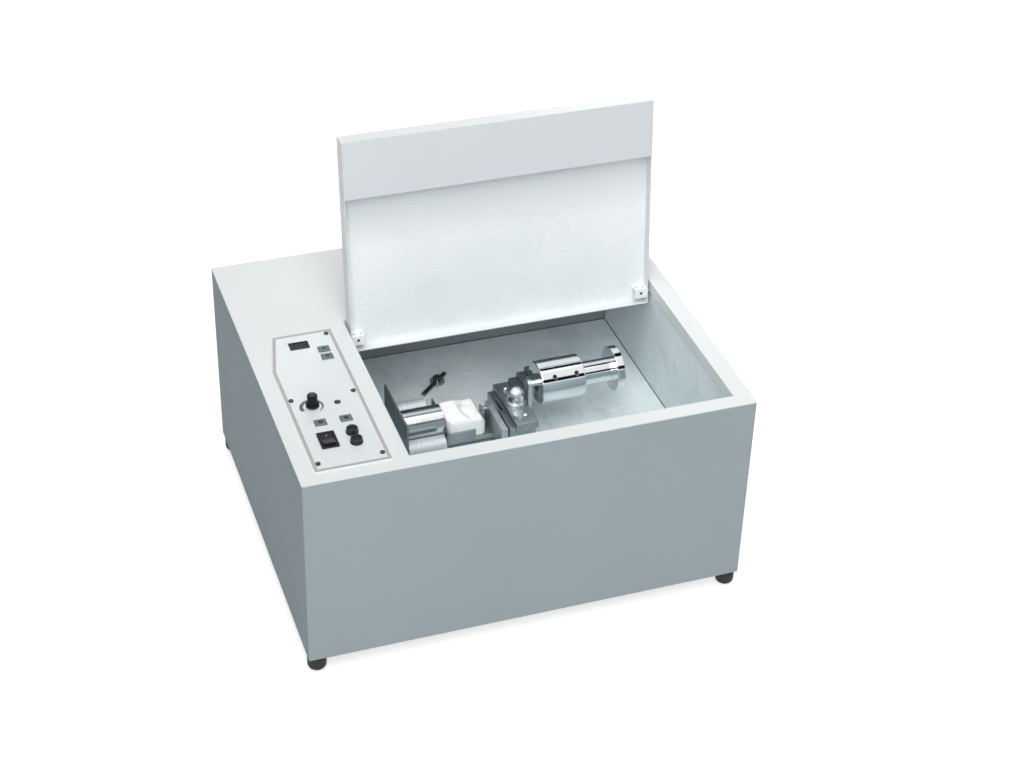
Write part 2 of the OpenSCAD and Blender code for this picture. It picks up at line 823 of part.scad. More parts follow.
// The bare sheet that lines the pan behind the front band
module lid_liner() color("#b9c2c5") in_open_lid()
  box([lid_x0 + lid_sheet, lid_y0 + band_w, lid_inside_z],
      [lid_x1 - lid_sheet, lid_y1 - lid_sheet, lid_inside_z + lid_liner_t]);

// The painted band that closes the pan's free end, with a leg folded down to the skin
module lid_front_band() color("#d0d5d9") in_open_lid() {
  box([lid_x0, lid_y0, lid_edge_z - lid_sheet], [lid_x1, lid_y0 + band_w, lid_edge_z]);
  box([lid_x0 + lid_sheet, lid_y0 + band_w - lid_sheet, lid_edge_z],
      [lid_x1 - lid_sheet, lid_y0 + band_w, deck_z - lid_sheet]);
}

// The two blocks that turn on the hinge pins
module hinge_blocks() color("#eef1f2") in_open_lid()
  for (x = [lid_x0 + lid_sheet, lid_x1 - lid_sheet - hinge_block_w]) difference() {
    box([x, pivot_y - hinge_block_l / 2, lid_edge_z],
        [x + hinge_block_w, pivot_y + hinge_block_l / 2, lid_inside_z]);
    hinge_pin_bore(x - cut, x + hinge_block_w + cut);
    translate([x + hinge_block_w / 2, pivot_y, lid_edge_z - cut])
      cylinder(d = block_screw_d, h = cut + block_screw_depth);
  }

// A bow handle on the lid's outer face, near its free end
module lid_handle() color("#2b2f31") in_open_lid()
  translate([(lid_x0 + lid_x1) / 2, lid_y0 + handle_inset, deck_z]) {
    for (s = [-1, 1]) translate([s * (handle_span - handle_foot_w) / 2, 0, 0])
      rounded_block(handle_foot_w, handle_w, handle_r, 0, handle_rise - handle_bar_t);
    rounded_block(handle_span, handle_w, handle_r, handle_rise - handle_bar_t, handle_rise);
  }

// The panel's outline, with its left edge slanted towards the rear
module panel_outline()
  polygon([
    [panel_x, panel_y],
    [panel_x1, panel_y],
    [panel_x1, panel_y1],
    [panel_x + panel_slant_w, panel_y1],
    [panel_x, panel_y1 - panel_slant_l]
  ]);

module control_panel() color("#cfd6d9") in_cabinet() difference() {
  translate([0, 0, deck_z]) linear_extrude(panel_t) panel_outline();
  control_cutouts(deck_z - cut, panel_top + cut);
}

// Five raised screws, three along the right edge and two along the left
module panel_screws() color("#3a3f42") in_cabinet()
  for (p = [[screw_right_x, screw_front_y], [screw_right_x, screw_mid_y], [screw_right_x, screw_rear_y],
            [screw_left_x, screw_front_y], [screw_left_x, screw_mid_y]])
    translate([p.x, p.y, panel_top]) difference() {
      rotate_extrude() edged_disc(panel_screw_d, panel_screw_rise, panel_screw_edge);
      translate([0, 0, panel_screw_rise - panel_socket_depth])
        cylinder(d = panel_socket_d, h = panel_socket_depth + cut, $fn = 6);
    }

// The display, framed in the panel
module display_window() color("#1d2426") in_cabinet() translate(display_at) {
  translate([0, 0, panel_top - display_depth]) linear_extrude(display_depth)
    square([display_w, display_l], center = true);
  translate([0, 0, panel_top]) linear_extrude(display_proud) difference() {
    square([display_w + 2 * display_rim, display_l + 2 * display_rim], center = true);
    square([display_w - 2 * display_lap, display_l - 2 * display_lap], center = true);
  }
}

// The lamp's domed lens over its stem
module indicator_lamp() color("#4a5255") in_cabinet() translate([lamp_at.x, lamp_at.y, panel_top]) {
  lens_h = lamp_edge_h + lamp_dome_h;
  translate([0, 0, -lamp_stem_l]) cylinder(d = lamp_stem_d, h = lamp_stem_l);
  rotate_extrude() intersection() {
    translate([0, lens_h - lamp_dome_r]) circle(lamp_dome_r);
    square([lamp_d / 2, lens_h]);
  }
}

// The section of the switch's body, which fills its cut-out
module switch_body_outline()
  square([switch_w - 2 * switch_wall, switch_l - 2 * switch_wall], center = true);

// The switch's bezel and body, open at the top for the rocker
module switch_housing() color("#17191a") in_cabinet() translate([switch_at.x, switch_at.y, panel_top])
  difference() {
    bore_half = switch_w / 2 - rocker_axle_inset;
    union() {
      rounded_block(switch_w, switch_l, switch_corner_r, 0, switch_flange_t);
      translate([0, 0, -switch_depth]) linear_extrude(switch_depth + cut) switch_body_outline();
    }
    translate([0, 0, -switch_depth + switch_wall]) linear_extrude(switch_depth + switch_flange_t)
      square([switch_w - 4 * switch_wall, switch_l - 4 * switch_wall], center = true);
    translate([0, 0, -rocker_axis_drop])
      rod_along_x(rocker_axle_d + 2 * running_gap, -bore_half, bore_half);
  }

// The rocker: two slanted halves over an axle
module rocker() color("#101112") in_cabinet()
  translate([switch_at.x, switch_at.y, panel_top - rocker_axis_drop]) {
    rocker_w = switch_w - 4 * switch_wall - 2 * control_gap;
    half_l = switch_l / 2 - 2 * switch_wall - 3 * control_gap;
    axle_half = switch_w / 2 - rocker_axle_inset - control_gap;
    rise = rocker_axis_drop + rocker_proud;
    dip = half_l * tan(rocker_tilt);
    rotate([-rocker_tilt, 0, 0]) union() {
      translate([-rocker_w / 2, 0, 0]) rotate([90, 0, 90]) linear_extrude(rocker_w)
        polygon([
          [-half_l, rise], [0, rise - dip], [half_l, rise], [half_l, rise - rocker_edge_h],
          [rocker_foot_w / 2, -rocker_foot_drop], [-rocker_foot_w / 2, -rocker_foot_drop],
          [-half_l, rise - rocker_edge_h]
        ]);
      rod_along_x(rocker_axle_d, -axle_half, axle_half);
    }
  }

// The speed control below the panel, with its threaded bush
module potentiometer() color("#8d8f90") in_cabinet() translate([knob_at.x, knob_at.y, 0]) difference() {
  bush_top = panel_top + knob_lift;
  shaft_foot = deck_under - pot_h + pot_floor_t;
  union() {
    translate([0, 0, deck_under - pot_h]) cylinder(d = pot_d, h = pot_h);
    translate([0, 0, deck_under]) cylinder(d = knob_bush_d, h = bush_top - deck_under);
  }
  translate([0, 0, shaft_foot]) cylinder(d = knob_shaft_d + 2 * running_gap, h = bush_top - shaft_foot + cut);
}

// The knob, with a skirt, a fluted grip and its own shaft
module knob() color("#141516") in_cabinet() translate([knob_at.x, knob_at.y, 0]) {
  base = panel_top + knob_lift + slide_gap;
  skirt_top = base + knob_skirt_h;
  shaft_foot = deck_under - pot_h + pot_floor_t + slide_gap;
  rotate_extrude() translate([0, base]) union() {
    square([knob_d / 2, knob_skirt_h - knob_edge]);
    square([knob_d / 2 - knob_edge, knob_skirt_h]);
  }
  translate([0, 0, skirt_top]) linear_extrude(knob_h - knob_skirt_h - knob_edge) difference() {
    circle(d = knob_grip_d);
    for (i = [1:knob_flutes - 1]) rotate(90 + i * 360 / knob_flutes)
      translate([knob_grip_d / 2 + flute_d / 2 - flute_depth, 0]) circle(d = flute_d);
  }
  translate([0, 0, skirt_top]) cylinder(d = knob_grip_d - 2 * knob_edge, h = knob_h - knob_skirt_h);
  translate([0, 0, shaft_foot]) cylinder(d = knob_shaft_d, h = base - shaft_foot + knob_edge);
}

// One push key with a sunken mark in its face: a disc, or a triangle that points along the panel
module push_key(place, mark_sides, mark_turn) color("#7d8789") in_cabinet() translate([place.x, place.y, 0]) {
  top = panel_top + key_proud;
  difference() {
    union() {
      rounded_block(key_w, key_l, key_corner_r, top - key_h, top - key_edge);
      rounded_block(key_w - 2 * key_edge, key_l - 2 * key_edge, key_corner_r, top - key_h, top);
    }
    translate([0, 0, top - key_mark_depth]) rotate([0, 0, mark_turn])
      cylinder(d = key_mark_d, h = key_mark_depth + cut, $fn = mark_sides);
  }
  translate([0, 0, key_stem_foot]) cylinder(d = key_stem_d, h = key_stem_l + cut);
}

module key_up() push_key(up_at, 3, 90);
module key_down() push_key(down_at, 3, -90);
module key_start() push_key(start_at, $fn, 0);
module key_stop() push_key(stop_at, $fn, 0);

// The four switches that the keys press, on the control board
module key_switches() color("#202325") in_cabinet()
  for (p = key_places)
    translate(p) rounded_block(key_switch_w, key_switch_w, key_corner_r,
                               board_z + board_t, key_stem_foot - key_travel - slide_gap);

// The control board, hung from the deck and the display on posts
module control_board() color("#2f5a45") in_cabinet() {
  x0 = panel_x + board_margin;
  x1 = panel_x1 - board_margin;
  y0 = start_at.y - board_front;
  y1 = panel_y1 - board_margin;
  post_x = x1 - board_post_inset;
  post_z = board_z + board_t;
  difference() {
    box([x0, y0, board_z], [x1, y1, board_z + board_t]);
    translate([knob_at.x, knob_at.y, board_z - cut])
      cylinder(d = pot_d + 2 * pot_clearance, h = board_t + 2 * cut);
  }
  for (p = [[x0 + board_post_inset, y0 + board_post_inset], [post_x, y0 + board_post_inset],
            [post_x, (y0 + y1) / 2], [post_x, y1 - board_post_inset]])
    translate([p.x, p.y, post_z]) cylinder(d = board_post_d, h = deck_under - post_z);
  translate([display_at.x, display_at.y, post_z])
    cylinder(d = board_post_d, h = panel_top - display_depth - post_z);
}

// Two fuse carriers with their collars on the panel
module fuse_holders() color("#1b1d1e") in_cabinet()
  for (i = [0, 1]) translate([fuse_at.x, fuse_at.y + i * fuse_pitch, panel_top]) difference() {
    union() {
      cylinder(d = fuse_cap_d + 2 * fuse_ring_lip, h = fuse_ring_t);
      translate([0, 0, -fuse_body_l]) cylinder(d = fuse_body_d, h = fuse_body_l + cut);
    }
    translate([0, 0, fuse_floor_t - fuse_body_l])
      cylinder(d = fuse_neck_d + 2 * running_gap, h = fuse_body_l + fuse_ring_t);
  }

// One screw-in fuse cap, with a coin slot and its carrier stem
module fuse_cap(index) color("#121314") in_cabinet()
  translate([fuse_at.x, fuse_at.y + index * fuse_pitch, panel_top + fuse_ring_t + slide_gap]) {
    difference() {
      rotate_extrude() edged_disc(fuse_cap_d, fuse_cap_h, fuse_cap_edge);
      translate([-fuse_cap_d / 2 - cut, -fuse_slot_w / 2, fuse_cap_h - fuse_slot_depth])
        cube([fuse_cap_d + 2 * cut, fuse_slot_w, fuse_slot_depth + cut]);
    }
    translate([0, 0, -fuse_stem_l]) cylinder(d = fuse_neck_d, h = fuse_stem_l + cut);
  }

module fuse_cap_rear() fuse_cap(1);
module fuse_cap_front() fuse_cap(0);

// The lid's safety switch on the outside of the liner
module interlock_switch() color("#202325") in_cabinet() {
  x = liner_x0 - liner_t;
  y = pivot_y - interlock_setback;
  z = deck_under - interlock_drop;
  box([x - interlock_t, y - interlock_l, z - interlock_h], [x, y, z]);
}

// The mains inlet: a flanged socket with three blades, and no lead
module mains_inlet() color("#17191a") in_cabinet()
  translate([inlet_x, rear_y + sheet_t, inlet_z]) rotate([-90, 0, 0]) {
    socket_floor = inlet_flange_t - socket_depth;
    difference() {
      union() {
        rounded_block(inlet_w, inlet_l, inlet_corner_r, 0, inlet_flange_t);
        translate([0, 0, -inlet_depth]) linear_extrude(inlet_depth + cut)
          square([inlet_body_w, inlet_body_l], center = true);
      }
      translate([0, 0, socket_floor]) linear_extrude(socket_depth + cut)
        square([socket_w, socket_l], center = true);
      for (s = [-1, 1]) translate([s * inlet_screw_pitch / 2, 0, -cut])
        cylinder(d = inlet_screw_d, h = inlet_flange_t + 2 * cut);
    }
    for (p = blade_places)
      translate([p.x - blade_w / 2, p.y - blade_h / 2, socket_floor - cut])
        cube([blade_w, blade_h, blade_l + cut]);
  }

// The motor's control unit: a finned block on the bottom plate
module motor_controller() color("#6d7578") in_cabinet() translate([unit_x, unit_y, sheet_t]) {
  cube([unit_w, unit_l, unit_h]);
  for (i = [0:fins - 1])
    translate([fin_margin + i * fin_pitch, fin_margin, unit_h]) cube([fin_t, unit_l - 2 * fin_margin, fin_h]);
}

// The motor: end bells, a ribbed middle and the shaft's bore
module motor_body() color("#5d6568") in_cabinet() translate([hub_x, hub_y, 0]) difference() {
  bell_inside = bell_end + bell_h - rib_sink;
  union() {
    translate([0, 0, motor_bottom]) rotate_extrude() union() {
      square([motor_d / 2 - motor_waist, motor_h]);
      for (z = [bell_end, motor_h - bell_end - bell_h]) translate([0, z]) square([motor_d / 2, bell_h]);
    }
    for (i = [0:ribs - 1]) rotate([0, 0, i * 360 / ribs])
      box([motor_d / 2 - motor_waist - rib_sink, -rib_t / 2, motor_bottom + bell_inside],
          [motor_d / 2 - rib_short, rib_t / 2, motor_top - bell_inside]);
  }
  translate([0, 0, motor_bottom + shaft_well]) cylinder(d = shaft_d + 2 * shaft_pass, h = motor_h);
  translate([0, 0, lower_bearing_z]) cylinder(d = bearing_d, h = bearing_t);
}

// The flanged housing that hangs the motor under the floor plate
module bearing_housing() color("#7b8386") in_cabinet() translate([hub_x, hub_y, 0]) difference() {
  union() {
    translate([0, 0, motor_top]) cylinder(d = housing_d, h = housing_h);
    translate([0, 0, floor_under - housing_flange_t]) cylinder(d = housing_flange_d, h = housing_flange_t);
    translate([0, 0, motor_top]) cylinder(d = housing_foot_d, h = housing_foot_t);
  }
  translate([0, 0, motor_top - cut]) cylinder(d = shaft_d + 2 * shaft_pass, h = housing_h + 2 * cut);
  translate([0, 0, upper_bearing_z]) cylinder(d = bearing_d, h = floor_under - upper_bearing_z + cut);
}

// The two ball bearings that carry the shaft, with a groove between their races
module shaft_bearings() color("#b8bfc2") in_cabinet() translate([hub_x, hub_y, 0])
  for (z = [lower_bearing_z, upper_bearing_z]) translate([0, 0, z]) difference() {
    cylinder(d = bearing_d, h = bearing_t);
    translate([0, 0, -cut]) cylinder(d = shaft_d + 2 * running_gap, h = bearing_t + 2 * cut);
    for (face = [-bearing_groove, bearing_t - bearing_groove]) translate([0, 0, face]) difference() {
      cylinder(d = bearing_d - 2 * bearing_shield, h = 2 * bearing_groove);
      translate([0, 0, -cut]) cylinder(d = shaft_d + 2 * bearing_shield, h = 2 * bearing_groove + 2 * cut);
    }
  }

// The shaft, with a shoulder under the beam and a threaded end for the nut
module drive_shaft() color("#c0c6c8") in_cabinet() translate([hub_x, hub_y, 0]) {
  translate([0, 0, shaft_bottom]) cylinder(d = shaft_d, h = beam_z - shaft_bottom);
  translate([0, 0, shaft_bottom]) cylinder(d = shaft_seat_d, h = hub_bar_top - shaft_bottom);
  translate([0, 0, shaft_bottom]) cylinder(d = thread_d, h = hub_bar_top + thread_l - shaft_bottom);
}

// The shaft's stepped seat, cut from the pieces that it clamps
module shaft_seat(z0, z1)
  translate([0, 0, z0 - cut]) cylinder(d = shaft_seat_d + 2 * running_gap, h = z1 - z0 + 2 * cut);

// The flat bar that carries the arm's left half and the hub
module arm_beam() color("#9aa3a6") in_arm() difference() {
  box([beam_u0, -beam_w / 2, beam_z], [bracket_u1, beam_w / 2, beam_top]);
  shaft_seat(beam_z, beam_top);
}

// The block under the hub bar, with a ledge and its wedge-shaped slot on the flask's side
module hub_block() color("#8d979a") in_arm() difference() {
  union() {
    box([-hub_bar_w / 2, -hub_block_l / 2, beam_top], [hub_bar_w / 2, hub_block_l / 2, hub_bar_z]);
    box([-hub_bar_w / 2 - ledge_w, -hub_block_l / 2 - ledge_over, beam_top],
        [-hub_bar_w / 2, hub_block_l / 2 + ledge_over, hub_bar_z + ledge_h]);
  }
  shaft_seat(beam_top, hub_bar_z);
  translate([-hub_bar_w / 2 - ledge_w / 2, ledge_slot_at, hub_bar_z + ledge_h - ledge_slot_depth])
    linear_extrude(ledge_slot_depth + cut) polygon([
      [-ledge_slot_wide / 2, -ledge_slot_l / 2], [ledge_slot_wide / 2, -ledge_slot_l / 2],
      [ledge_slot_narrow / 2, ledge_slot_l / 2], [-ledge_slot_narrow / 2, ledge_slot_l / 2]
    ]);
}

// The bar across the hub
module hub_bar() color("#7f898c") in_arm() difference() {
  box([-hub_bar_w / 2, -hub_bar_l / 2, hub_bar_z], [hub_bar_w / 2, hub_bar_l / 2, hub_bar_top]);
  shaft_seat(hub_bar_z, hub_bar_top);
}

// The domed nut, with its collar
module hub_nut() color("#cfd5d7") in_arm() difference() {
  translate([0, 0, hub_bar_top]) rotate_extrude() union() {
    square([nut_collar_d / 2, nut_collar_h]);
    square([nut_d / 2, nut_h - nut_d / 2]);
    intersection() {
      translate([0, nut_h - nut_d / 2]) circle(nut_d / 2);
      square([nut_d, nut_h]);
    }
  }
  translate([0, 0, hub_bar_top - cut])
    cylinder(d = thread_d + 2 * running_gap, h = thread_l + cut + slide_gap);
}

// The cap and the domed screws on the hub bar
module hub_screws() color("#b9c1c4") in_arm() translate([0, 0, hub_bar_top]) {
  translate(hub_cap_at) cylinder(d = hub_cap_d, h = hub_cap_t);
  for (p = [hub_screw_front, hub_screw_rear]) translate(p) rotate_extrude() intersection() {
    circle(d = hub_screw_d);
    square(hub_screw_d);
  }
}

// The post on the hub's side that holds the counterweight's rod in its round head
module rod_bracket() color("#a3acaf") in_arm() {
  box([bracket_u0, -bracket_boss_d / 2, beam_top], [bracket_u1, bracket_back, rod_z]);
  translate([0, 0, rod_z]) rod_along_x(bracket_boss_d, bracket_u0, bracket_u1);
}

// The stair-shaped bracket behind the counterweight: its two lower steps reach forward to the nut
module stepped_bracket() color("#6f797c") in_arm() {
  z0 = hub_bar_top;
  translate([0, step_back, 0]) rotate([90, 0, 0]) union() {
    linear_extrude(step_back - step_front) polygon([
      [step_u0, z0], [step_u0, z0 + step_rise],
      [step_u0 + step_run, z0 + step_rise], [step_u0 + step_run, z0 + 2 * step_rise],
      [step_u0 + 2 * step_run, z0 + 2 * step_rise], [step_u0 + 2 * step_run, z0 + 3 * step_rise],
      [step_u0 + 3 * step_run, z0 + 3 * step_rise], [step_u0 + 3 * step_run, z0 + step_rise],
      [bracket_u1, z0]
    ]);
    linear_extrude(step_back - step_nose) polygon([
      [step_u0, z0], [step_u0, z0 + step_rise],
      [step_u0 + step_run, z0 + step_rise], [step_u0 + step_run, z0 + 2 * step_rise],
      [step_end, z0 + 2 * step_rise], [step_end, z0 + step_rise], [bracket_u1, z0]
    ]);
  }
}

// The counterweight's rod, with its end flange
module counterweight_rod() color("#ccd2d4") in_arm() translate([0, 0, rod_z]) {
  rod_along_x(spigot_d, bracket_u1, weight_u0 + cut);
  rod_along_x(rod_d, weight_u0, rod_u1);
  translate([rod_u1, 0, 0]) rotate([0, 90, 0]) rotate_extrude() edged_drum(flange_d, flange_t, flange_edge);
}

// The turned counterweight, free to slide along its rod
module counterweight() color("#c9cfd1") in_arm() translate([0, 0, rod_z]) difference() {
  translate([weight_u0, 0, 0]) rotate([0, 90, 0]) rotate_extrude() difference() {
    edged_drum(weight_d, weight_l, weight_edge);
    translate([-cut, -cut]) square([cut + rod_d / 2 + running_gap, weight_l + 2 * cut]);
  }
  for (u = set_screw_places) translate([u, 0, 0]) rotate([set_screw_turn, 0, 0])
    cylinder(d = set_screw_d + 2 * running_gap, h = weight_d);
}

// Two set screws that lock the counterweight on its rod
module weight_set_screws() color("#4a5154") in_arm() translate([0, 0, rod_z])
  for (u = set_screw_places) translate([u, 0, 0]) rotate([set_screw_turn, 0, 0])
    translate([0, 0, rod_d / 2 + set_screw_inset / 2]) difference() {
      cylinder(d = set_screw_d, h = set_screw_l);
      translate([0, 0, set_screw_l - set_screw_socket_h])
        cylinder(d = set_screw_socket_d, h = set_screw_socket_h + cut, $fn = 6);
    }

// The upright plate that guides the crucible's push pin
module guide_plate() color("#b4bcbf") in_arm() difference() {
  box([guide_u0, -guide_front, beam_top], [guide_u1, guide_back, beam_top + guide_h]);
  translate([0, 0, beam_top + push_pin_rise])
    rod_along_x(push_pin_d + 2 * running_gap, guide_u0 - cut, guide_u1 + cut);
}

// The thin plate between crucible and flask, with one horned corner and the pouring hole
module nozzle_plate() color("#7b8588") in_arm() difference() {
  top = beam_top + nozzle_h;
  box([nozzle_u0, -nozzle_front, beam_z], [nozzle_u1, nozzle_back, top]);
  box([nozzle_u0 - cut, -nozzle_front - cut, top - nozzle_dip], [nozzle_u1 + cut, 0, top + cut]);
  translate([0, 0, top - nozzle_dip + nozzle_dip_d / 2])
    rod_along_x(nozzle_dip_d, nozzle_u0 - cut, nozzle_u1 + cut);
  translate([0, 0, flask_z]) rod_along_x(nozzle_hole_d, nozzle_u0 - cut, nozzle_u1 + cut);
}

// The curved saddle that the flask lies in
module flask_saddle() color("#98a2a5") in_arm() translate([end_plate_u1, 0, flask_z])
  rotate([90, 0, 90]) linear_extrude(nozzle_u0 - end_plate_u1) difference() {
    circle(flask_d / 2 + slide_gap + saddle_wall);
    circle(flask_d / 2 + slide_gap);
    translate([-flask_d, -saddle_drop]) square([2 * flask_d, 2 * flask_d]);
  }

// The end plate that stops the flask
module end_plate() color("#6f7a7d") in_arm()
  box([end_plate_u0, -end_plate_w / 2, beam_z], [end_plate_u1, end_plate_w / 2, beam_top + end_plate_h]);

// Two tubes beside the flask, fixed to the end plate
module cradle_tubes() color("#b9c2c5") in_arm()
  for (s = [-1, 1]) translate([0, s * tube_offset, tube_z]) difference() {
    rod_along_x(cradle_tube_d, end_plate_u1, end_plate_u1 + cradle_tube_l);
    rod_along_x(cradle_tube_d - 2 * tube_wall, end_plate_u1 + tube_plug_l,
                end_plate_u1 + cradle_tube_l + cut);
  }

// The flask's steel sleeve
module flask_sleeve() color("#c3cacc") in_arm() translate([0, 0, flask_z]) difference() {
  rod_along_x(flask_d, flask_u0, flask_u1);
  rod_along_x(flask_d - 2 * flask_wall, flask_u0 - cut, flask_u1 + cut);
}

// The plaster mould cast in the sleeve, with its pouring funnel
module investment_mould() color("#e6e3dc") in_arm() translate([0, 0, flask_z]) difference() {
  rod_along_x(flask_d - 2 * flask_wall, flask_u0 + mould_recess, flask_u1 - mould_recess);
  translate([flask_u1, 0, 0]) rotate([0, -90, 0])
    cylinder(d1 = funnel_d, d2 = funnel_throat_d, h = funnel_l);
}

// The carriage under the crucible, with side walls, a back tab and the push pin
module crucible_carriage() color("#858f92") in_arm() {
  wall_v = crucible_w / 2 + slide_gap;
  pin_z = beam_top + push_pin_rise;
  union() {
    box([crucible_u0, -wall_v - tray_t, tray_z], [crucible_u1 + tray_t, wall_v + tray_t, tray_z + tray_t]);
    for (v = [-wall_v - tray_t, wall_v])
      box([crucible_u0, v, tray_z], [crucible_u0 + tray_wall_l, v + tray_t, tray_z + tray_wall_h]);
    box([crucible_u1 + slide_gap, -tray_tab_w / 2, tray_z],
        [crucible_u1 + tray_t, tray_tab_w / 2, pin_z + push_pin_d / 2]);
    translate([0, 0, pin_z]) rod_along_x(push_pin_d, crucible_u1 + slide_gap, crucible_u1 + push_pin_l);
  }
}

// The crucible: a ceramic block with rounded shoulders, a hood over its pouring end, a melting bowl
// and a pouring hole
module crucible() color("#f4f4f2") in_arm() difference() {
  intersection() {
    translate([crucible_u0, 0, 0]) rotate([90, 0, 90]) linear_extrude(crucible_l) crucible_outline();
    translate([crucible_mid_u, 0, 0])
      rounded_block(crucible_l, crucible_w, crucible_corner_r, crucible_z, crucible_z + crucible_h);
    rotate([90, 0, 0]) linear_extrude(crucible_w, center = true) crucible_side();
  }
  translate([bowl_u, 0, crucible_z + crucible_floor_t + bowl_d / 2]) {
    sphere(d = bowl_d);
    cylinder(d = bowl_d, h = crucible_h);
  }
  translate([0, 0, flask_z]) rod_along_x(pour_hole_d, crucible_u0 - cut, bowl_u);
}

// The crucible's side view: the hood falls to both sides of its crest
module crucible_side()
  translate([crucible_u0, crucible_z]) polygon([
    [0, 0],
    [crucible_l, 0],
    [crucible_l, crucible_rear_h - crucible_end_fall],
    [crucible_l - crucible_end_run, crucible_rear_h],
    [hood_at + hood_run, crucible_rear_h],
    [hood_at, crucible_h],
    [0, crucible_h - hood_fall]
  ]);

// The crucible's section across the arm
module crucible_outline()
  translate([0, crucible_z]) union() {
    side_h = crucible_h - crucible_shoulder;
    centre_v = crucible_w / 2 - crucible_shoulder;
    translate([-crucible_w / 2, 0]) square([crucible_w, side_h]);
    translate([-centre_v, 0]) square([2 * centre_v, crucible_h]);
    for (s = [-1, 1]) translate([s * centre_v, side_h]) circle(crucible_shoulder);
  }

// The latch on the chamber floor: a collar with a cross bar, on a pin that turns in the floor plate
module arm_latch() color("#1f2325") in_cabinet()
  translate([latch_at.x, latch_at.y, floor_z + slide_gap]) rotate([0, 0, latch_turn]) {
    cylinder(d = latch_base_d, h = latch_collar_h);
    difference() {
      cylinder(d = latch_neck_d, h = latch_h - slide_gap);
      translate([0, 0, latch_h - latch_socket_h]) cylinder(d = latch_socket_d, h = latch_socket_h);
    }
    translate([0, 0, latch_bar_d / 2])
      rod_along_x(latch_bar_d, latch_short_share - latch_bar_l, latch_short_share);
    translate([0, 0, -floor_t - slide_gap])
      cylinder(d = latch_pin_d, h = floor_t + slide_gap + latch_collar_h);
  }

cabinet_shell();
top_deck();
base_plate();
rear_panel();
rubber_feet();
chamber_liner();
chamber_floor();
floor_supports();
lid_stop_buffers();
hinge_pins();
hinge_lugs();
lid_pan();
lid_liner();
lid_front_band();
hinge_blocks();
lid_handle();
control_panel();
panel_screws();
display_window();
indicator_lamp();
switch_housing();
rocker();
potentiometer();
knob();
key_up();
key_down();
key_start();
key_stop();
key_switches();
control_board();
fuse_holders();
fuse_cap_rear();
fuse_cap_front();
interlock_switch();
mains_inlet();
motor_controller();
motor_body();
bearing_housing();
shaft_bearings();
drive_shaft();
arm_beam();
hub_block();
hub_bar();
hub_nut();
hub_screws();
rod_bracket();
stepped_bracket();
counterweight_rod();
counterweight();
weight_set_screws();
guide_plate();
nozzle_plate();
flask_saddle();
end_plate();
cradle_tubes();
flask_sleeve();
investment_mould();
crucible_carriage();
crucible();
arm_latch();
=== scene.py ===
"""Studio scene of a bench-top centrifugal casting machine.

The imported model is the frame. This file gives each of its pieces a finish, adds the thin trim that
sits on them, and sets up a plain studio. Lengths are in metres, in the frame of the model.
"""
import json
from math import cos, pi, radians, sin

import bmesh
import bpy
import numpy as np
from bpy.props import FloatProperty, FloatVectorProperty, PointerProperty
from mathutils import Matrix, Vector


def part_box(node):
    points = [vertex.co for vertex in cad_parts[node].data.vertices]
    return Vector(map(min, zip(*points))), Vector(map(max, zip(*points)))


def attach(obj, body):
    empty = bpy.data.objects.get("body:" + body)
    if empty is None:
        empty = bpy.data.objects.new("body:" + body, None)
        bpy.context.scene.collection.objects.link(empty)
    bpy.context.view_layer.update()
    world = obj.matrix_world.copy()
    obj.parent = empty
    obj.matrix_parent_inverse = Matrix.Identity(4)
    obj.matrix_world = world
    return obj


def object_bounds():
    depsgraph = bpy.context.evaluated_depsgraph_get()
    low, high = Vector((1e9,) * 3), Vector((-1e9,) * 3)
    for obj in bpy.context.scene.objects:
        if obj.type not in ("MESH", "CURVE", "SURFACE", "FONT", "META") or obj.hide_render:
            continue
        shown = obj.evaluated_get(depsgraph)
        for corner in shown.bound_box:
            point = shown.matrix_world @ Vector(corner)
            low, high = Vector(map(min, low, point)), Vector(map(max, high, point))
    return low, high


bl_info = {
    "name": "Casting machine finish",
    "version": (1, 0, 0),
    "blender": (4, 5, 0),
    "location": "View3D > Sidebar > Casting machine",
    "description": "Finishes, trim and studio for a centrifugal casting machine",
    "category": "Object",
}

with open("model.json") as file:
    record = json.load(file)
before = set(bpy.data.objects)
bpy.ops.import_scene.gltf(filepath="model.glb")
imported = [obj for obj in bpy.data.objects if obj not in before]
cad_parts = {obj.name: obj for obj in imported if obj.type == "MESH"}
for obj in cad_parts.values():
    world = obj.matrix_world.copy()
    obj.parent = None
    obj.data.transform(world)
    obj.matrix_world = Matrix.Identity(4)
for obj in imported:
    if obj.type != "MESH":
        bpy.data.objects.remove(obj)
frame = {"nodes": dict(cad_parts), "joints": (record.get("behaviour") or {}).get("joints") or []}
CAD_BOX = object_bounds()
NODES = frame["nodes"]
JOINTS = {joint["name"]: joint for joint in frame["joints"]}
MM = 0.001
WHITE = (1.0, 1.0, 1.0, 1.0)
MIX_FACTOR, MIX_FIRST, MIX_SECOND, MIX_RESULT = 0, 6, 7, 2    # sockets of a colour mix
WORN_STEEL = (0.72, 0.75, 0.76)     # scene light of rubbed edges
WORN_BLACK = (0.5, 0.53, 0.54)
SIDE = np.array((1.0, 0.0, 0.0))    # the machine's width, from left to right


def linear(red, green, blue):
    """Turn a display colour of 0 to 255 into scene light: the sRGB curve, channel by channel."""
    shares = np.array((red, green, blue)) / 255.0
    return tuple(np.where(shares <= 0.04045, shares / 12.92, ((shares + 0.055) / 1.055) ** 2.4))


def colour(name, description, red, green, blue):
    """A colour property with its default given as a display colour."""
    return FloatVectorProperty(name=name, description=description, subtype="COLOR", size=3,
                               min=0.0, max=1.0, default=linear(red, green, blue))


def place(name, description, *metres):
    """A place in the studio, in metres."""
    return FloatVectorProperty(name=name, description=description, subtype="TRANSLATION",
                               unit="LENGTH", default=metres)


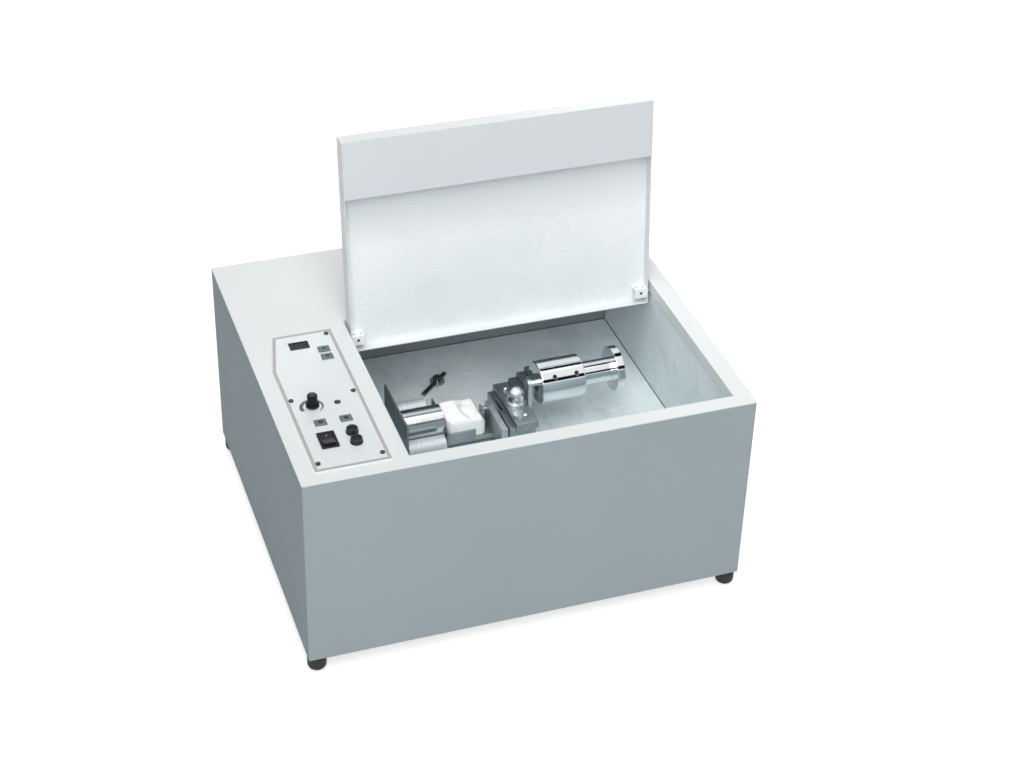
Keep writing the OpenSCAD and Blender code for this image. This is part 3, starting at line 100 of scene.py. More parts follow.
def number(subtype, unit="NONE", scale=1.0, **limits):
    """A maker of number properties of one sort, whose defaults are given in units of a scale."""
    return lambda name, description, value: FloatProperty(
        name=name, description=description, subtype=subtype, unit=unit, default=value * scale,
        **limits)


length = number("DISTANCE", "LENGTH", MM, min=0.0, precision=5)     # given in millimetres
angle = number("ANGLE", "ROTATION", radians(1.0))                   # given in degrees
power = number("POWER", min=0.0)                                    # given in watts
share = number("FACTOR", min=0.0, max=1.0)                          # from nothing to all


class FinishColours(bpy.types.PropertyGroup):
    """Colours of the machine's finishes."""

    deck_white: colour("Deck white", "Enamel of the deck and of the lid's pan", 224, 228, 229)
    wall_grey: colour("Wall grey", "Enamel of the cabinet's walls", 158, 170, 175)
    band_grey: colour("Band grey", "Enamel of the lid's front band", 210, 215, 219)
    hinge_white: colour("Hinge white", "Nylon of the hinge blocks", 240, 242, 243)
    zinc_pale: colour("Pale zinc", "Light spangles of the galvanised sheet", 240, 248, 250)
    zinc_dark: colour("Dark zinc", "Dark spangles of the galvanised sheet", 212, 225, 229)
    lining_pale: colour("Pale lining", "Light grain of the lid's lining", 244, 248, 249)
    lining_dark: colour("Dark lining", "Dark grain of the lid's lining", 221, 228, 231)
    plate_grey: colour("Plate grey", "Zinc plating under the cabinet", 150, 157, 160)
    rubber_black: colour("Rubber black", "Feet and stop buffers", 26, 29, 30)
    plastic_black: colour("Plastic black", "Switch, fuse caps, handle and inlet", 24, 26, 27)
    knob_black: colour("Knob black", "Moulded knob", 17, 18, 19)
    panel_silver: colour("Panel silver", "Satin face of the control panel", 233, 238, 240)
    border_taupe: colour("Border taupe", "Printed border of the control panel", 177, 176, 175)
    mark_grey: colour("Mark grey", "Printed scale round the knob", 96, 102, 104)
    mark_dark: colour("Mark dark", "Ink in the keys' marks", 44, 51, 53)
    bar_grey: colour("Bar grey", "Ink of the rocker's bar", 158, 164, 165)
    key_grey: colour("Key grey", "Moulded push keys", 105, 118, 121)
    display_dark: colour("Display dark", "Smoked window of the display", 40, 50, 52)
    lamp_dark: colour("Lamp dark", "Unlit lens of the lamp", 58, 68, 70)
    steel_pale: colour("Pale steel", "Ground faces of the arm", 196, 203, 206)
    steel_mid: colour("Mid steel", "Machined faces of the arm", 150, 160, 163)
    steel_dark: colour("Dark steel", "Blackened plates of the arm", 116, 129, 132)
    chrome: colour("Chrome", "Counterweight, rod and hub nut", 230, 235, 237)
    flask_steel: colour("Flask steel", "Brushed sleeve of the flask", 205, 211, 213)
    plaster: colour("Plaster", "Mould in the flask", 226, 222, 213)
    ceramic: colour("Ceramic", "Crucible", 250, 251, 250)
    tube_grey: colour("Tube grey", "Tubes beside the flask, and the latch's rod", 205, 212, 215)
    latch_black: colour("Latch black", "Blackened latch, screws and sealing bead", 38, 43, 45)
    latch_grey: colour("Latch grey", "Worn collar of the latch", 112, 122, 125)
    board_green: colour("Board green", "Control board", 44, 88, 66)
    motor_grey: colour("Motor grey", "Painted motor and housing", 92, 100, 104)
    alloy_grey: colour("Alloy grey", "Cast body of the motor's control unit", 138, 145, 148)


class TrimSizes(bpy.types.PropertyGroup):
    """Sizes of the trim that sits on the model's pieces."""

    border_width: length("Border width", "Width of the panel's printed border", 4.2)
    print_height: length("Print height", "Height of a printed mark above its face", 0.15)
    slant_length: length("Slant length", "Length of the panel's slanted stretch", 74.0)
    slant_width: length("Slant width", "Sideways run of the panel's slanted stretch", 17.0)
    dial_radius: length("Dial radius", "Inner radius of the scale round the knob", 11.4)
    dial_thick: length("Dial thick end", "Width of the scale where it is widest", 5.0)
    dial_thin: length("Dial thin end", "Width of the scale where it is narrowest", 1.2)
    dial_from: angle("Dial start", "Angle of the scale's thick end", 205.0)
    dial_to: angle("Dial end", "Angle of the scale's thin end", -55.0)
    key_mark: length("Key mark", "Radius of the sunken mark in a key", 3.2)
    arrow_mark: length("Arrow mark", "Radius of the printed arrow on a key", 4.0)
    key_mark_depth: length("Key mark depth", "Depth of the sunken mark in a key", 0.3)
    knob_cap: length("Knob cap", "Radius of the plain cap on the knob", 5.0)
    pointer_width: length("Pointer width", "Width of the knob's pointer line", 1.1)
    rocker_mark: length("Rocker mark", "Length of the bar printed on the rocker", 3.4)
    screw_radius: length("Screw radius", "Radius of a panel screw", 3.0)
    screw_socket: length("Screw socket", "Radius of the bright bottom of a screw's socket", 1.2)
    foot_radius: length("Foot radius", "Radius of a rubber foot", 12.0)
    foot_neck: length("Foot neck", "Height of a foot's neck", 3.0)
    foot_ring: length("Foot ring", "Radius of the washer on a foot's shoulder", 8.8)
    bead_radius: length("Bead radius", "Radius of the sealing bead round the floor", 0.8)
    liner_wall: length("Liner wall", "Thickness of the chamber's liner", 1.2)
    block_width: length("Hinge block width", "Width of a hinge block along its pin", 17.0)
    block_half_depth: length("Hinge block drop", "From the hinge axis to the block's face", 6.5)
    block_screw: length("Block screw", "Radius of the screw in a hinge block", 1.9)
    block_length: length("Hinge block length", "Length of a hinge block across its pin", 13.0)
    block_pin: length("Block pin", "Radius of the two pins in a hinge block's end", 1.1)
    latch_rod: length("Latch rod", "Radius of the bright rod in the latch", 0.9)
    latch_reach: length("Latch reach", "How far the bright rod leans out over the floor", 17.0)


class StudioSetup(bpy.types.PropertyGroup):
    """Camera and light of the studio."""

    lens: FloatProperty(name="Lens", description="Focal length on a 36 mm sensor", unit="CAMERA",
                        default=71.579)
    camera_place: place("Camera place", "Where the camera stands", -0.68349, -2.04137, 1.73324)
    camera_turn: FloatVectorProperty(name="Camera turn", description="How the camera is turned",
                                     subtype="EULER", unit="ROTATION",
                                     default=(radians(54.757), radians(-1.4413), radians(-18.8677)))
    aim: place("Aim", "Where the lamps point", 0.0, 0.0, 0.25)
    key_place: place("Key place", "Where the large light in front hangs", -1.1, -3.9, 3.6)
    key_power: power("Key light", "Power of the large light in front", 200.0)
    top_place: place("Top place", "Where the large light overhead hangs", -0.6, -0.9, 5.2)
    top_power: power("Top light", "Power of the large light overhead", 132.0)
    large_size: length("Large light", "Side of the two large lights", 3900.0)
    rear_place: place("Rear place", "Where the low light behind stands", 2.6, 3.7, 1.5)
    rear_power: power("Rear light", "Power of the low light behind", 75.0)
    rear_size: length("Rear size", "Side of the low light behind", 2400.0)
    room_light: share("Room light", "Strength of the even light around", 0.15)
    floor_tone: share("Floor tone", "Share of light that the floor returns", 0.6)
    floor_lift: share("Floor lift", "White added to the floor's look", 0.58)


class Finish:
    """A material being built: one Principled shader and the textures that feed it."""

    def __init__(self, name, base, roughness=0.5, metallic=0.0):
        self.material = bpy.data.materials.new(name)
        self.material.use_nodes = True
        self.tree = self.material.node_tree
        self.shader = self.tree.nodes["Principled BSDF"]
        self.coords = self.node("ShaderNodeTexCoord").outputs["Object"]
        self.normal = None
        self.set(**{"Base Color": (*base, 1.0), "Roughness": roughness, "Metallic": metallic})

    def node(self, kind, inputs=None, **settings):
        """Add a node, set its own settings, and link or set each named input."""
        made = self.tree.nodes.new(kind)
        for name, value in settings.items():
            setattr(made, name, value)
        for name, value in (inputs or {}).items():
            self.feed(made.inputs[name], value)
        return made

    def feed(self, socket, value):
        """Link a socket to another one, or set its value."""
        if isinstance(value, bpy.types.NodeSocket):
            self.tree.links.new(value, socket)
        else:
            socket.default_value = value

    def set(self, **inputs):
        """Fill inputs of the shader by their names."""
        for name, value in inputs.items():
            self.feed(self.shader.inputs[name], value)

    def paint(self, base):
        """Feed the base colour."""
        self.set(**{"Base Color": base})

    def along(self, axis):
        """The object coordinate along X, Y or Z."""
        return self.node("ShaderNodeSeparateXYZ", {"Vector": self.coords}).outputs[axis]

    def noise(self, scale, detail=3.0, vector=None):
        """Cloudy noise: scale counts its waves in a metre."""
        inputs = {"Vector": vector or self.coords, "Scale": scale, "Detail": detail}
        return self.node("ShaderNodeTexNoise", inputs).outputs[0]

    def streaks(self, waves, detail):
        """Cloudy noise with its own count of waves in a metre along each axis."""
        inputs = {"Vector": self.coords, "Scale": waves}
        return self.noise(1.0, detail, self.node("ShaderNodeMapping", inputs).outputs[0])

    def cells(self, scale):
        """Flat patches of random value, as in a zinc spangle."""
        made = self.node("ShaderNodeTexVoronoi", {"Vector": self.coords, "Scale": scale})
        return self.node("ShaderNodeRGBToBW", {"Color": made.outputs["Color"]}).outputs[0]

    def spread(self, factor, low, high, start=0.3, end=0.7):
        """Map a factor's range from start to end onto low to high."""
        inputs = {"Value": factor, "From Min": start, "From Max": end,
                  "To Min": low, "To Max": high}
        return self.node("ShaderNodeMapRange", inputs).outputs[0]

    def blend(self, factor, first, second):
        """Mix two colours, each a colour or a socket, by a factor."""
        made = self.node("ShaderNodeMix", data_type="RGBA")
        self.feed(made.inputs[MIX_FACTOR], factor)
        for number, value in ((MIX_FIRST, first), (MIX_SECOND, second)):
            linked = isinstance(value, bpy.types.NodeSocket)
            self.feed(made.inputs[number], value if linked else (*value, 1.0))
        return made.outputs[MIX_RESULT]

    def overlay(self, under, over, factor, most, start, end):
        """Lay a colour over another by a factor: none of it at start, the most at end."""
        return self.blend(self.spread(factor, 0.0, most, start, end), under, over)

    def times(self, first, second):
        """Multiply two values, each a number or a socket."""
        return self.node("ShaderNodeMath", {0: first, 1: second}, operation="MULTIPLY").outputs[0]

    def mottle(self, factor, dark, light):
        """Let the base colour wander between two colours."""
        self.paint(self.blend(self.spread(factor, 0.0, 1.0), dark, light))

    def roughen(self, factor, low, high):
        """Let the roughness wander between two values."""
        self.set(Roughness=self.spread(factor, low, high))

    def soften(self, radius):
        """Round the look of every edge by a radius."""
        self.normal = self.node("ShaderNodeBevel", {"Radius": radius}, samples=6).outputs[0]
        self.set(Normal=self.normal)

    def relief(self, height, depth):
        """Raise the surface by a height factor times a depth."""
        inputs = {"Height": height, "Distance": depth}
        if self.normal:
            inputs["Normal"] = self.normal
        self.normal = self.node("ShaderNodeBump", inputs).outputs[0]
        self.set(Normal=self.normal)

    def edges(self, radius):
        """A mask that is one on edges: where the rounded normal leaves the flat one."""
        edge, face = 0.90, 0.995
        rounded = self.node("ShaderNodeBevel", {"Radius": radius}, samples=6).outputs[0]
        flat = self.node("ShaderNodeNewGeometry").outputs["Normal"]
        alike = self.node("ShaderNodeVectorMath", {0: rounded, 1: flat}, operation="DOT_PRODUCT")
        return self.spread(alike.outputs["Value"], 1.0, 0.0, edge, face)


def shade(base, factor):
    """A colour made lighter or darker by a factor."""
    return tuple(min(1.0, channel * factor) for channel in base)


def tone(name):
    """A colour of the scene's finishes."""
    return getattr(bpy.context.scene.machine_colours, name)


def enamel(name, base, roughness=0.38, gloss=0.2):
    """Baked enamel: an even coat with a fine orange peel and a slight drift of tone."""
    made = Finish(name, base)
    made.set(**{"Specular IOR Level": gloss})
    made.mottle(made.noise(6.0, detail=4.0), shade(base, 0.985), shade(base, 1.015))
    made.roughen(made.noise(60.0, detail=4.0), roughness - 0.04, roughness + 0.06)
    made.soften(0.6 * MM)
    made.relief(made.noise(850.0, detail=2.0), 0.012 * MM)
    return made.material


def clouded(name, base, patches, dark, edge, light=1.0, detail=3.0, metallic=0.0, roughness=0.5,
            rough=None, grain=300.0, relief=0.0):
    """A plain finish: patches of tone, soft edges and, where given, a rough grain or a relief."""
    made = Finish(name, base, roughness, metallic)
    made.mottle(made.noise(patches, detail), shade(base, dark), shade(base, light))
    if rough:
        made.roughen(made.noise(grain), *rough)
    made.soften(edge * MM)
    if relief:
        made.relief(made.noise(grain, detail=2.0), relief * MM)
    return made.material


def drawn(name, base, metallic, waves, dark, rough):
    """Drawn or turned metal: one streaked grain moves both its tone and its roughness."""
    made = Finish(name, base, metallic=metallic)
    streaks = made.streaks(waves, detail=3.0)
    made.mottle(streaks, shade(base, dark), base)
    made.roughen(streaks, *rough)
    made.soften(0.4 * MM)
    return made.material


def galvanised(name, pale, roughness, lift=1.0, painted_rear_shade=False):
    """Galvanised sheet: spangles in patches, clouded, with a fine grain, bright scuffs and dark
    smudges. A lift above one lightens its dark spangles, as painted light on the chamber's walls;
    with painted rear shade the sheet is darkened along the chamber's rear, as painted shade."""
    # A lift above one makes a lighter copy of the sheet: painted light on the chamber's walls
    dark = shade(tone("zinc_dark"), lift)
    made = Finish(name, pale, metallic=0.04)
    grain = made.noise(380.0, detail=5.0)
    scuffs = made.streaks((22.0, 190.0, 90.0), detail=4.0)
    smudges = made.streaks((55.0, 24.0, 40.0), detail=3.0)
    sheet = made.blend(made.spread(made.noise(14.0, detail=5.0), 0.0, 1.0), dark, pale)
    sheet = made.blend(made.times(made.cells(95.0), 0.3), sheet, pale)
    sheet = made.overlay(sheet, shade(dark, 0.82), grain, most=0.45, start=0.42, end=0.72)
    sheet = made.overlay(sheet, shade(pale, 1.08), scuffs, most=0.55, start=0.64, end=0.74)
    sheet = made.overlay(sheet, shade(dark, 0.72), smudges, most=0.35, start=0.60, end=0.74)
    # Painted shade: the rear wall's sheet darkens to a deep shade of its dark spangles, in place of
    # the shadow under the deck and lid
    if painted_rear_shade:
        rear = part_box("chamber_liner")[1].y - 2.0 * bpy.context.scene.machine_sizes.liner_wall
        sheet = made.overlay(sheet, shade(dark, 0.16), made.along("Y"), most=0.82,
                             start=rear - 1.0 * MM, end=rear)
    made.paint(sheet)
    made.roughen(grain, roughness - 0.07, roughness + 0.10)
    made.relief(made.noise(260.0, detail=3.0), 0.02 * MM)
    return made.material


def lid_lining(name, pale):
    """Pale lining of the lid: a mottled sheet with a short grain, with painted shade under its band.
    """
    dark = tone("lining_dark")
    made = Finish(name, pale, metallic=0.1)
    grain = made.noise(420.0, detail=5.0)
    sheet = made.blend(made.spread(made.noise(13.0, detail=3.0), 0.0, 0.3), pale, dark)
    sheet = made.overlay(sheet, dark, grain, most=0.55, start=0.42, end=0.7)
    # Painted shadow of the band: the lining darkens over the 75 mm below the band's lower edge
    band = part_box("lid_front_band")[0].z
    made.paint(made.overlay(sheet, shade(dark, 0.78), made.along("Z"), most=0.9,
                            start=band - 75.0 * MM, end=band))
    made.roughen(grain, 0.44, 0.58)
    made.relief(grain, 0.03 * MM)
    return made.material


def moulded(name, base, roughness, grain=900.0, gloss=0.4):
    """Moulded plastic or rubber: a fine matt grain and a slight polish on its edges."""
    made = Finish(name, base)
    made.set(**{"Specular IOR Level": gloss})
    rubbed = tuple(channel * 1.6 + 0.01 for channel in base)
    made.paint(made.blend(made.times(made.edges(0.5 * MM), 0.5), base, rubbed))
    made.roughen(made.noise(300.0), roughness - 0.06, roughness + 0.08)
    made.soften(0.4 * MM)
    made.relief(made.noise(grain, detail=2.0), 0.015 * MM)
    return made.material


def panel_silver(name, base):
    """Satin panel face: a short grain over a pale metal sheet."""
    made = Finish(name, base, metallic=0.2)
    grain = made.streaks((520.0, 900.0, 520.0), detail=3.0)
    made.mottle(grain, shade(base, 0.93), shade(base, 1.02))
    made.roughen(grain, 0.36, 0.5)
    made.relief(grain, 0.01 * MM)
    return made.material


def display_smoke(name, base):
    """Smoked window: dark gloss with a faint cloud in it."""
    made = Finish(name, base)
    made.mottle(made.noise(90.0, detail=2.0), shade(base, 0.8), shade(base, 1.25))
    made.set(**{"Specular IOR Level": 0.15, "Coat Weight": 0.08, "Coat Roughness": 0.1})
    made.roughen(made.noise(300.0), 0.22, 0.34)
    return made.material


def lamp_lens(name, base):
    """Unlit lens of the lamp: dark and glossy."""
    made = Finish(name, base, roughness=0.2)
    made.mottle(made.noise(500.0), shade(base, 0.8), shade(base, 1.15))
    made.set(**{"Specular IOR Level": 0.3, "Coat Weight": 0.15, "Coat Roughness": 0.1})
    made.soften(0.3 * MM)
    return made.material


def board_green(name, base):
    """Lacquered control board."""
    made = Finish(name, base, roughness=0.35)
    made.mottle(made.cells(260.0), shade(base, 0.8), shade(base, 1.15))
    made.soften(0.3 * MM)
    return made.material


def machined(name, base, roughness, waves):
    """Machined steel: tool marks along one way, clouded patches and bright worn edges."""
    made = Finish(name, base, metallic=0.9)
    marks = made.streaks(waves, detail=4.0)
    clouds = made.spread(made.noise(45.0, detail=5.0), 0.0, 1.0)
    body = made.blend(clouds, shade(base, 0.72), shade(base, 1.05))
    lined = made.overlay(body, shade(base, 1.35), marks, most=0.4, start=0.4, end=0.8)
    made.paint(made.blend(made.times(made.edges(0.9 * MM), 0.7), lined, WORN_STEEL))
    made.roughen(marks, roughness - 0.08, roughness + 0.12)
    made.soften(0.6 * MM)
    made.relief(marks, 0.02 * MM)
    return made.material


def chrome(name, base):
    """Polished chrome with faint turning marks round the arm's length."""
    made = Finish(name, base, metallic=1.0)
    turning = made.streaks((2200.0, 30.0, 30.0), detail=2.0)
    made.roughen(turning, 0.04, 0.11)
    made.mottle(made.noise(30.0), shade(base, 0.94), base)
    made.soften(0.4 * MM)
    made.relief(turning, 0.003 * MM)
    return made.material


def mould_plaster(name, base):
    """Dry plaster of the mould, chalky and pitted."""
    made = Finish(name, base, roughness=0.9)
    made.mottle(made.noise(90.0, detail=5.0), shade(base, 0.86), base)
    made.relief(made.noise(600.0, detail=4.0), 0.08 * MM)
    return made.material


def ceramic_white(name, base):
    """Slip-cast ceramic of the crucible: white, smooth-edged, with a dry fine tooth."""
    made = Finish(name, base)
    made.mottle(made.noise(70.0, detail=4.0), shade(base, 0.95), base)
    made.roughen(made.noise(240.0), 0.5, 0.7)
    made.soften(3.5 * MM)
    made.relief(made.noise(420.0, detail=4.0), 0.04 * MM)
    return made.material


def latch_black(name, base):
    """Oil-blackened steel of the latch, worn grey on its collar and rubbed bright on its edges."""
    made = Finish(name, base, metallic=0.15)
    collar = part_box("chamber_floor")[1].z + 3.5 * MM
    low = made.spread(made.along("Z"), 1.0, 0.0, collar, collar + 0.3 * MM)
    body = made.blend(low, base, tone("latch_grey"))
    made.paint(made.blend(made.times(made.edges(0.6 * MM), 0.6), body, WORN_BLACK))
    made.roughen(made.noise(300.0), 0.3, 0.45)
    made.soften(0.4 * MM)
    return made.material


def printed(name, base):
    """A printed or inked mark: matt, with a slight unevenness of the ink."""
    made = Finish(name, base, roughness=0.6)
    made.mottle(made.noise(900.0), shade(base, 0.9), shade(base, 1.06))
    return made.material


# Each finish: the function that makes it, the name of its colour and its settings
FINISHES = {
    "deck_enamel": (enamel, "deck_white", {}),
    "wall_enamel": (enamel, "wall_grey", {"roughness": 0.5, "gloss": 0.01}),
    "band_enamel": (enamel, "band_grey", {"roughness": 0.45}),
    "motor_grey": (enamel, "motor_grey", {"roughness": 0.55}),
    "galvanised_floor": (galvanised, "zinc_pale", {"roughness": 0.42}),
    # The wall's sheet carries painted light (its dark spangles lifted) and painted shade along the
    # chamber's rear
    "galvanised_wall": (galvanised, "zinc_pale", {"roughness": 0.46, "lift": 1.05, "painted_rear_shade": True}),
    "lid_lining": (lid_lining, "lining_pale", {}),
    "black_rubber": (moulded, "rubber_black", {"roughness": 0.55}),
    "plastic_black": (moulded, "plastic_black", {"roughness": 0.36}),
    "handle_black": (moulded, "plastic_black", {"roughness": 0.48, "grain": 500.0}),
    "knob_black": (moulded, "knob_black", {"roughness": 0.28, "gloss": 0.2}),
    "key_grey": (moulded, "key_grey", {"roughness": 0.5}),
    "sealant_dark": (moulded, "latch_black", {"roughness": 0.6}),
    "steel_mid": (machined, "steel_mid", {"roughness": 0.36, "waves": (90.0, 900.0, 900.0)}),
    "steel_pale": (machined, "steel_pale", {"roughness": 0.34, "waves": (900.0, 60.0, 900.0)}),
    "steel_dark": (machined, "steel_dark", {"roughness": 0.42, "waves": (700.0, 700.0, 120.0)}),
    "chrome": (chrome, "chrome", {}),
    "flask_steel": (drawn, "flask_steel", {
        "metallic": 1.0, "waves": (900.0, 20.0, 20.0), "dark": 0.93, "rough": (0.16, 0.24)}),
    "tube_grey": (drawn, "tube_grey", {
        "metallic": 0.35, "waves": (260.0, 30.0, 260.0), "dark": 0.78, "rough": (0.42, 0.6)}),
    "hinge_nylon": (clouded, "hinge_white", {
        "patches": 120.0, "dark": 0.96, "edge": 0.8, "grain": 700.0, "relief": 0.02}),
    "zinc_plate": (clouded, "plate_grey", {
        "patches": 18.0, "detail": 5.0, "dark": 0.82, "edge": 0.5, "metallic": 0.7,
        "rough": (0.42, 0.6), "grain": 200.0}),
    "ground_steel": (clouded, "steel_pale", {
        "patches": 160.0, "dark": 0.85, "edge": 0.3, "metallic": 1.0, "rough": (0.22, 0.36),
        "grain": 500.0}),
    "nut_satin": (clouded, "chrome", {
        "patches": 140.0, "dark": 0.9, "edge": 0.5, "metallic": 1.0, "rough": (0.22, 0.34)}),
    "screw_dark": (clouded, "latch_black", {
        "patches": 700.0, "dark": 0.9, "light": 2.0, "edge": 0.25, "metallic": 0.6,
        "roughness": 0.4}),
    "controller_alloy": (clouded, "alloy_grey", {
        "patches": 60.0, "dark": 0.85, "edge": 0.5, "metallic": 0.8, "grain": 900.0,
        "relief": 0.02}),
    "panel_silver": (panel_silver, "panel_silver", {}),
    "display_smoke": (display_smoke, "display_dark", {}),
    "lamp_lens": (lamp_lens, "lamp_dark", {}),
    "board_green": (board_green, "board_green", {}),
    "mould_plaster": (mould_plaster, "plaster", {}),
    "ceramic_white": (ceramic_white, "ceramic", {}),
    "latch_black": (latch_black, "latch_black", {}),
    "border_print": (printed, "border_taupe", {}),
    "dial_print": (printed, "mark_grey", {}),
    "key_print": (printed, "mark_dark", {}),
    "pointer_print": (printed, "key_grey", {}),
    "rocker_print": (printed, "bar_grey", {}),
}


def coat(name):
    """Make the finish of that name."""
    kind, base, settings = FINISHES[name]
    return kind(name, tone(base), **settings)


def give(finish, *names):
    """Put one finish on the named nodes of the frame."""
    material = coat(finish)
    for name in names:
        mesh = NODES[name].data
        mesh.materials.clear()
        mesh.materials.append(material)


def around(turn):
    """Points of the unit circle: cosine and sine of each angle."""
    return np.stack((np.cos(turn), np.sin(turn)), axis=1)


def circle(radius, count=48):
    """Points of a circle: a radius times points at evenly spaced angles."""
    return radius * around(np.linspace(0.0, 2.0 * pi, count, endpoint=False))


def corners(*points):
    """An outline given by its corners."""
    return np.array(points, float)


def stacked(section, axis):
    """Outlines at their heights. Along axis 0 each outline is a ring; along axis 1 a ring runs
    across all of them, from point to like point."""
    rings = [np.column_stack((flat, np.full(len(flat), height))) for flat, height in section]
    return np.stack(rings, axis)


def slab(outline, low, high, centre=(0.0, 0.0), edge=0.9):
    """A thin plate: the outline from low to high, drawn in a little at its upper edge."""
    bevel = 0.3
    knee = high - (high - low) * bevel
    levels = ((1.0, low), (1.0, knee), (edge, high))
    return stacked([(outline * size + np.array(centre), height) for size, height in levels], 0)


def bar(half, far):
    """The outline of a bar from the origin: its half width and its length."""
    return corners((-half, 0.0), (half, 0.0), (half, far), (-half, far))


def turned(grid, base, across, ahead, up):
    """Carry a grid from the plan onto three axes that leave a base point."""
    return base + grid[..., :1] * across + grid[..., 1:2] * ahead + grid[..., 2:] * up


def grid_faces(rings, count, start, loop):
    """Quads between neighbouring rings, each ring closed on itself; a loop also joins the last
    ring to the first, and an open run is shut by its two end rings."""
    rows = np.arange(rings if loop else rings - 1)[:, None]
    steps = np.arange(count)[None]
    after = (rows + 1) % rings
    beside = (steps + 1) % count
    quads = np.stack((rows * count + steps, rows * count + beside,
                      after * count + beside, after * count + steps), axis=2)
    faces = (quads.reshape(-1, 4) + start).tolist()
    if not loop:
        first = np.arange(count) + start
        faces += [first[::-1].tolist(), (first + (rings - 1) * count).tolist()]
    return faces


def add_piece(name, grids, material, body, loop=False, smooth=30.0):
    """Make one mesh object of closed grids, riding on a body: each grid is rings of points."""
    points, faces, start = [], [], 0
    for grid in grids:
        rings, count, _ = grid.shape
        points.append(grid.reshape(-1, 3))
        faces += grid_faces(rings, count, start, loop)
        start += rings * count
    mesh = bpy.data.meshes.new(name)
    mesh.from_pydata(np.concatenate(points).tolist(), [], faces)
    shell = bmesh.new()
    shell.from_mesh(mesh)
    bmesh.ops.remove_doubles(shell, verts=shell.verts, dist=1e-7)
    bmesh.ops.recalc_face_normals(shell, faces=shell.faces)
    shell.to_mesh(mesh)
    shell.free()
    mesh.polygons.foreach_set("use_smooth", np.ones(len(mesh.polygons), bool))
    mesh.set_sharp_from_angle(angle=radians(smooth))
    mesh.materials.append(material)
    piece = bpy.data.objects.new(name, mesh)
    bpy.context.scene.collection.objects.link(piece)
    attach(piece, body)


def middle(node):
    """The middle of a node's box in plan."""
    low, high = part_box(node)
    return np.array(((low.x + high.x) / 2, (low.y + high.y) / 2))


class FinishCabinet(bpy.types.Operator):
    """Give the cabinet, its chamber and its feet their finishes"""

    bl_idname = "casting.finish_cabinet"
    bl_label = "Finish cabinet"

    def execute(self, context):
        give("deck_enamel", "top_deck")
        give("wall_enamel", "cabinet_shell", "rear_panel")
        give("galvanised_floor", "chamber_floor")
        give("galvanised_wall", "chamber_liner")
        give("zinc_plate", "base_plate", "floor_supports", "hinge_lugs")
        give("black_rubber", "rubber_feet", "lid_stop_buffers")
        give("plastic_black", "mains_inlet", "interlock_switch", "key_switches")
        return {"FINISHED"}


class FinishLid(bpy.types.Operator):
    """Give the lid and its hinge their finishes"""

    bl_idname = "casting.finish_lid"
    bl_label = "Finish lid"

    def execute(self, context):
        give("deck_enamel", "lid_pan")
        give("band_enamel", "lid_front_band")
        give("lid_lining", "lid_liner")
        give("hinge_nylon", "hinge_blocks")
        give("handle_black", "lid_handle")
        give("ground_steel", "hinge_pins")
        return {"FINISHED"}


class FinishControls(bpy.types.Operator):
    """Give the control panel and everything on it their finishes"""

    bl_idname = "casting.finish_controls"
    bl_label = "Finish controls"

    def execute(self, context):
        give("panel_silver", "control_panel")
        give("screw_dark", "panel_screws")
        give("display_smoke", "display_window")
        give("lamp_lens", "indicator_lamp")
        give("plastic_black", "switch_housing", "rocker", "fuse_holders", "fuse_cap_rear",
             "fuse_cap_front")
        give("knob_black", "knob")
        give("key_grey", "key_up", "key_down", "key_start", "key_stop")
        give("ground_steel", "potentiometer")
        give("board_green", "control_board")
        return {"FINISHED"}


class FinishArm(bpy.types.Operator):
    """Give the casting arm, its load and the latch their finishes"""

    bl_idname = "casting.finish_arm"
    bl_label = "Finish casting arm"

    def execute(self, context):
        give("steel_mid", "arm_beam", "hub_block", "hub_bar", "crucible_carriage", "flask_saddle")
        give("steel_pale", "guide_plate", "rod_bracket")
        give("tube_grey", "cradle_tubes")
        give("steel_dark", "stepped_bracket", "nozzle_plate", "end_plate")
        give("chrome", "counterweight", "counterweight_rod")
        give("nut_satin", "hub_nut")
        give("ground_steel", "hub_screws")
        give("screw_dark", "weight_set_screws")
        give("flask_steel", "flask_sleeve")
        give("mould_plaster", "investment_mould")
        give("ceramic_white", "crucible")
        give("latch_black", "arm_latch")
        return {"FINISHED"}


class FinishDrive(bpy.types.Operator):
    """Give the drive under the chamber its finishes"""

    bl_idname = "casting.finish_drive"
    bl_label = "Finish drive"

    def execute(self, context):
        give("motor_grey", "motor_body", "bearing_housing")
        give("ground_steel", "shaft_bearings", "drive_shaft")
        give("controller_alloy", "motor_controller")
        return {"FINISHED"}


class PanelBorder(bpy.types.Operator):
    """Print the border that follows the panel's edge"""

    bl_idname = "casting.panel_border"
    bl_label = "Panel border"

    def execute(self, context):
        sizes = context.scene.machine_sizes
        low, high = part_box("control_panel")
        outer = corners((low.x, low.y), (high.x, low.y), (high.x, high.y),
                        (low.x + sizes.slant_width, high.y), (low.x, high.y - sizes.slant_length))
        inner = inset(outer, sizes.border_width)
        margin = 0.2 * MM
        edge = inset(outer, margin)
        top = high.z + sizes.print_height
        grid = stacked(((edge, high.z), (edge, top), (inner, top), (inner, high.z)), 1)
        ink = coat("border_print")
        add_piece("panel_border", [grid], ink, "cabinet", loop=True)
        return {"FINISHED"}


def inset(outline, distance):
    """Move each side of a convex outline inwards: a corner goes along the bisector of its sides,
    by the distance over the cosine of half the turn."""
    ahead = np.roll(outline, -1, axis=0) - outline
    ahead /= np.linalg.norm(ahead, axis=1, keepdims=True)
    inward = np.stack((-ahead[:, 1], ahead[:, 0]), axis=1)
    before = np.roll(inward, 1, axis=0)
    bisector = inward + before
    move = distance / (1.0 + np.sum(inward * before, axis=1, keepdims=True))
    return outline + bisector * move


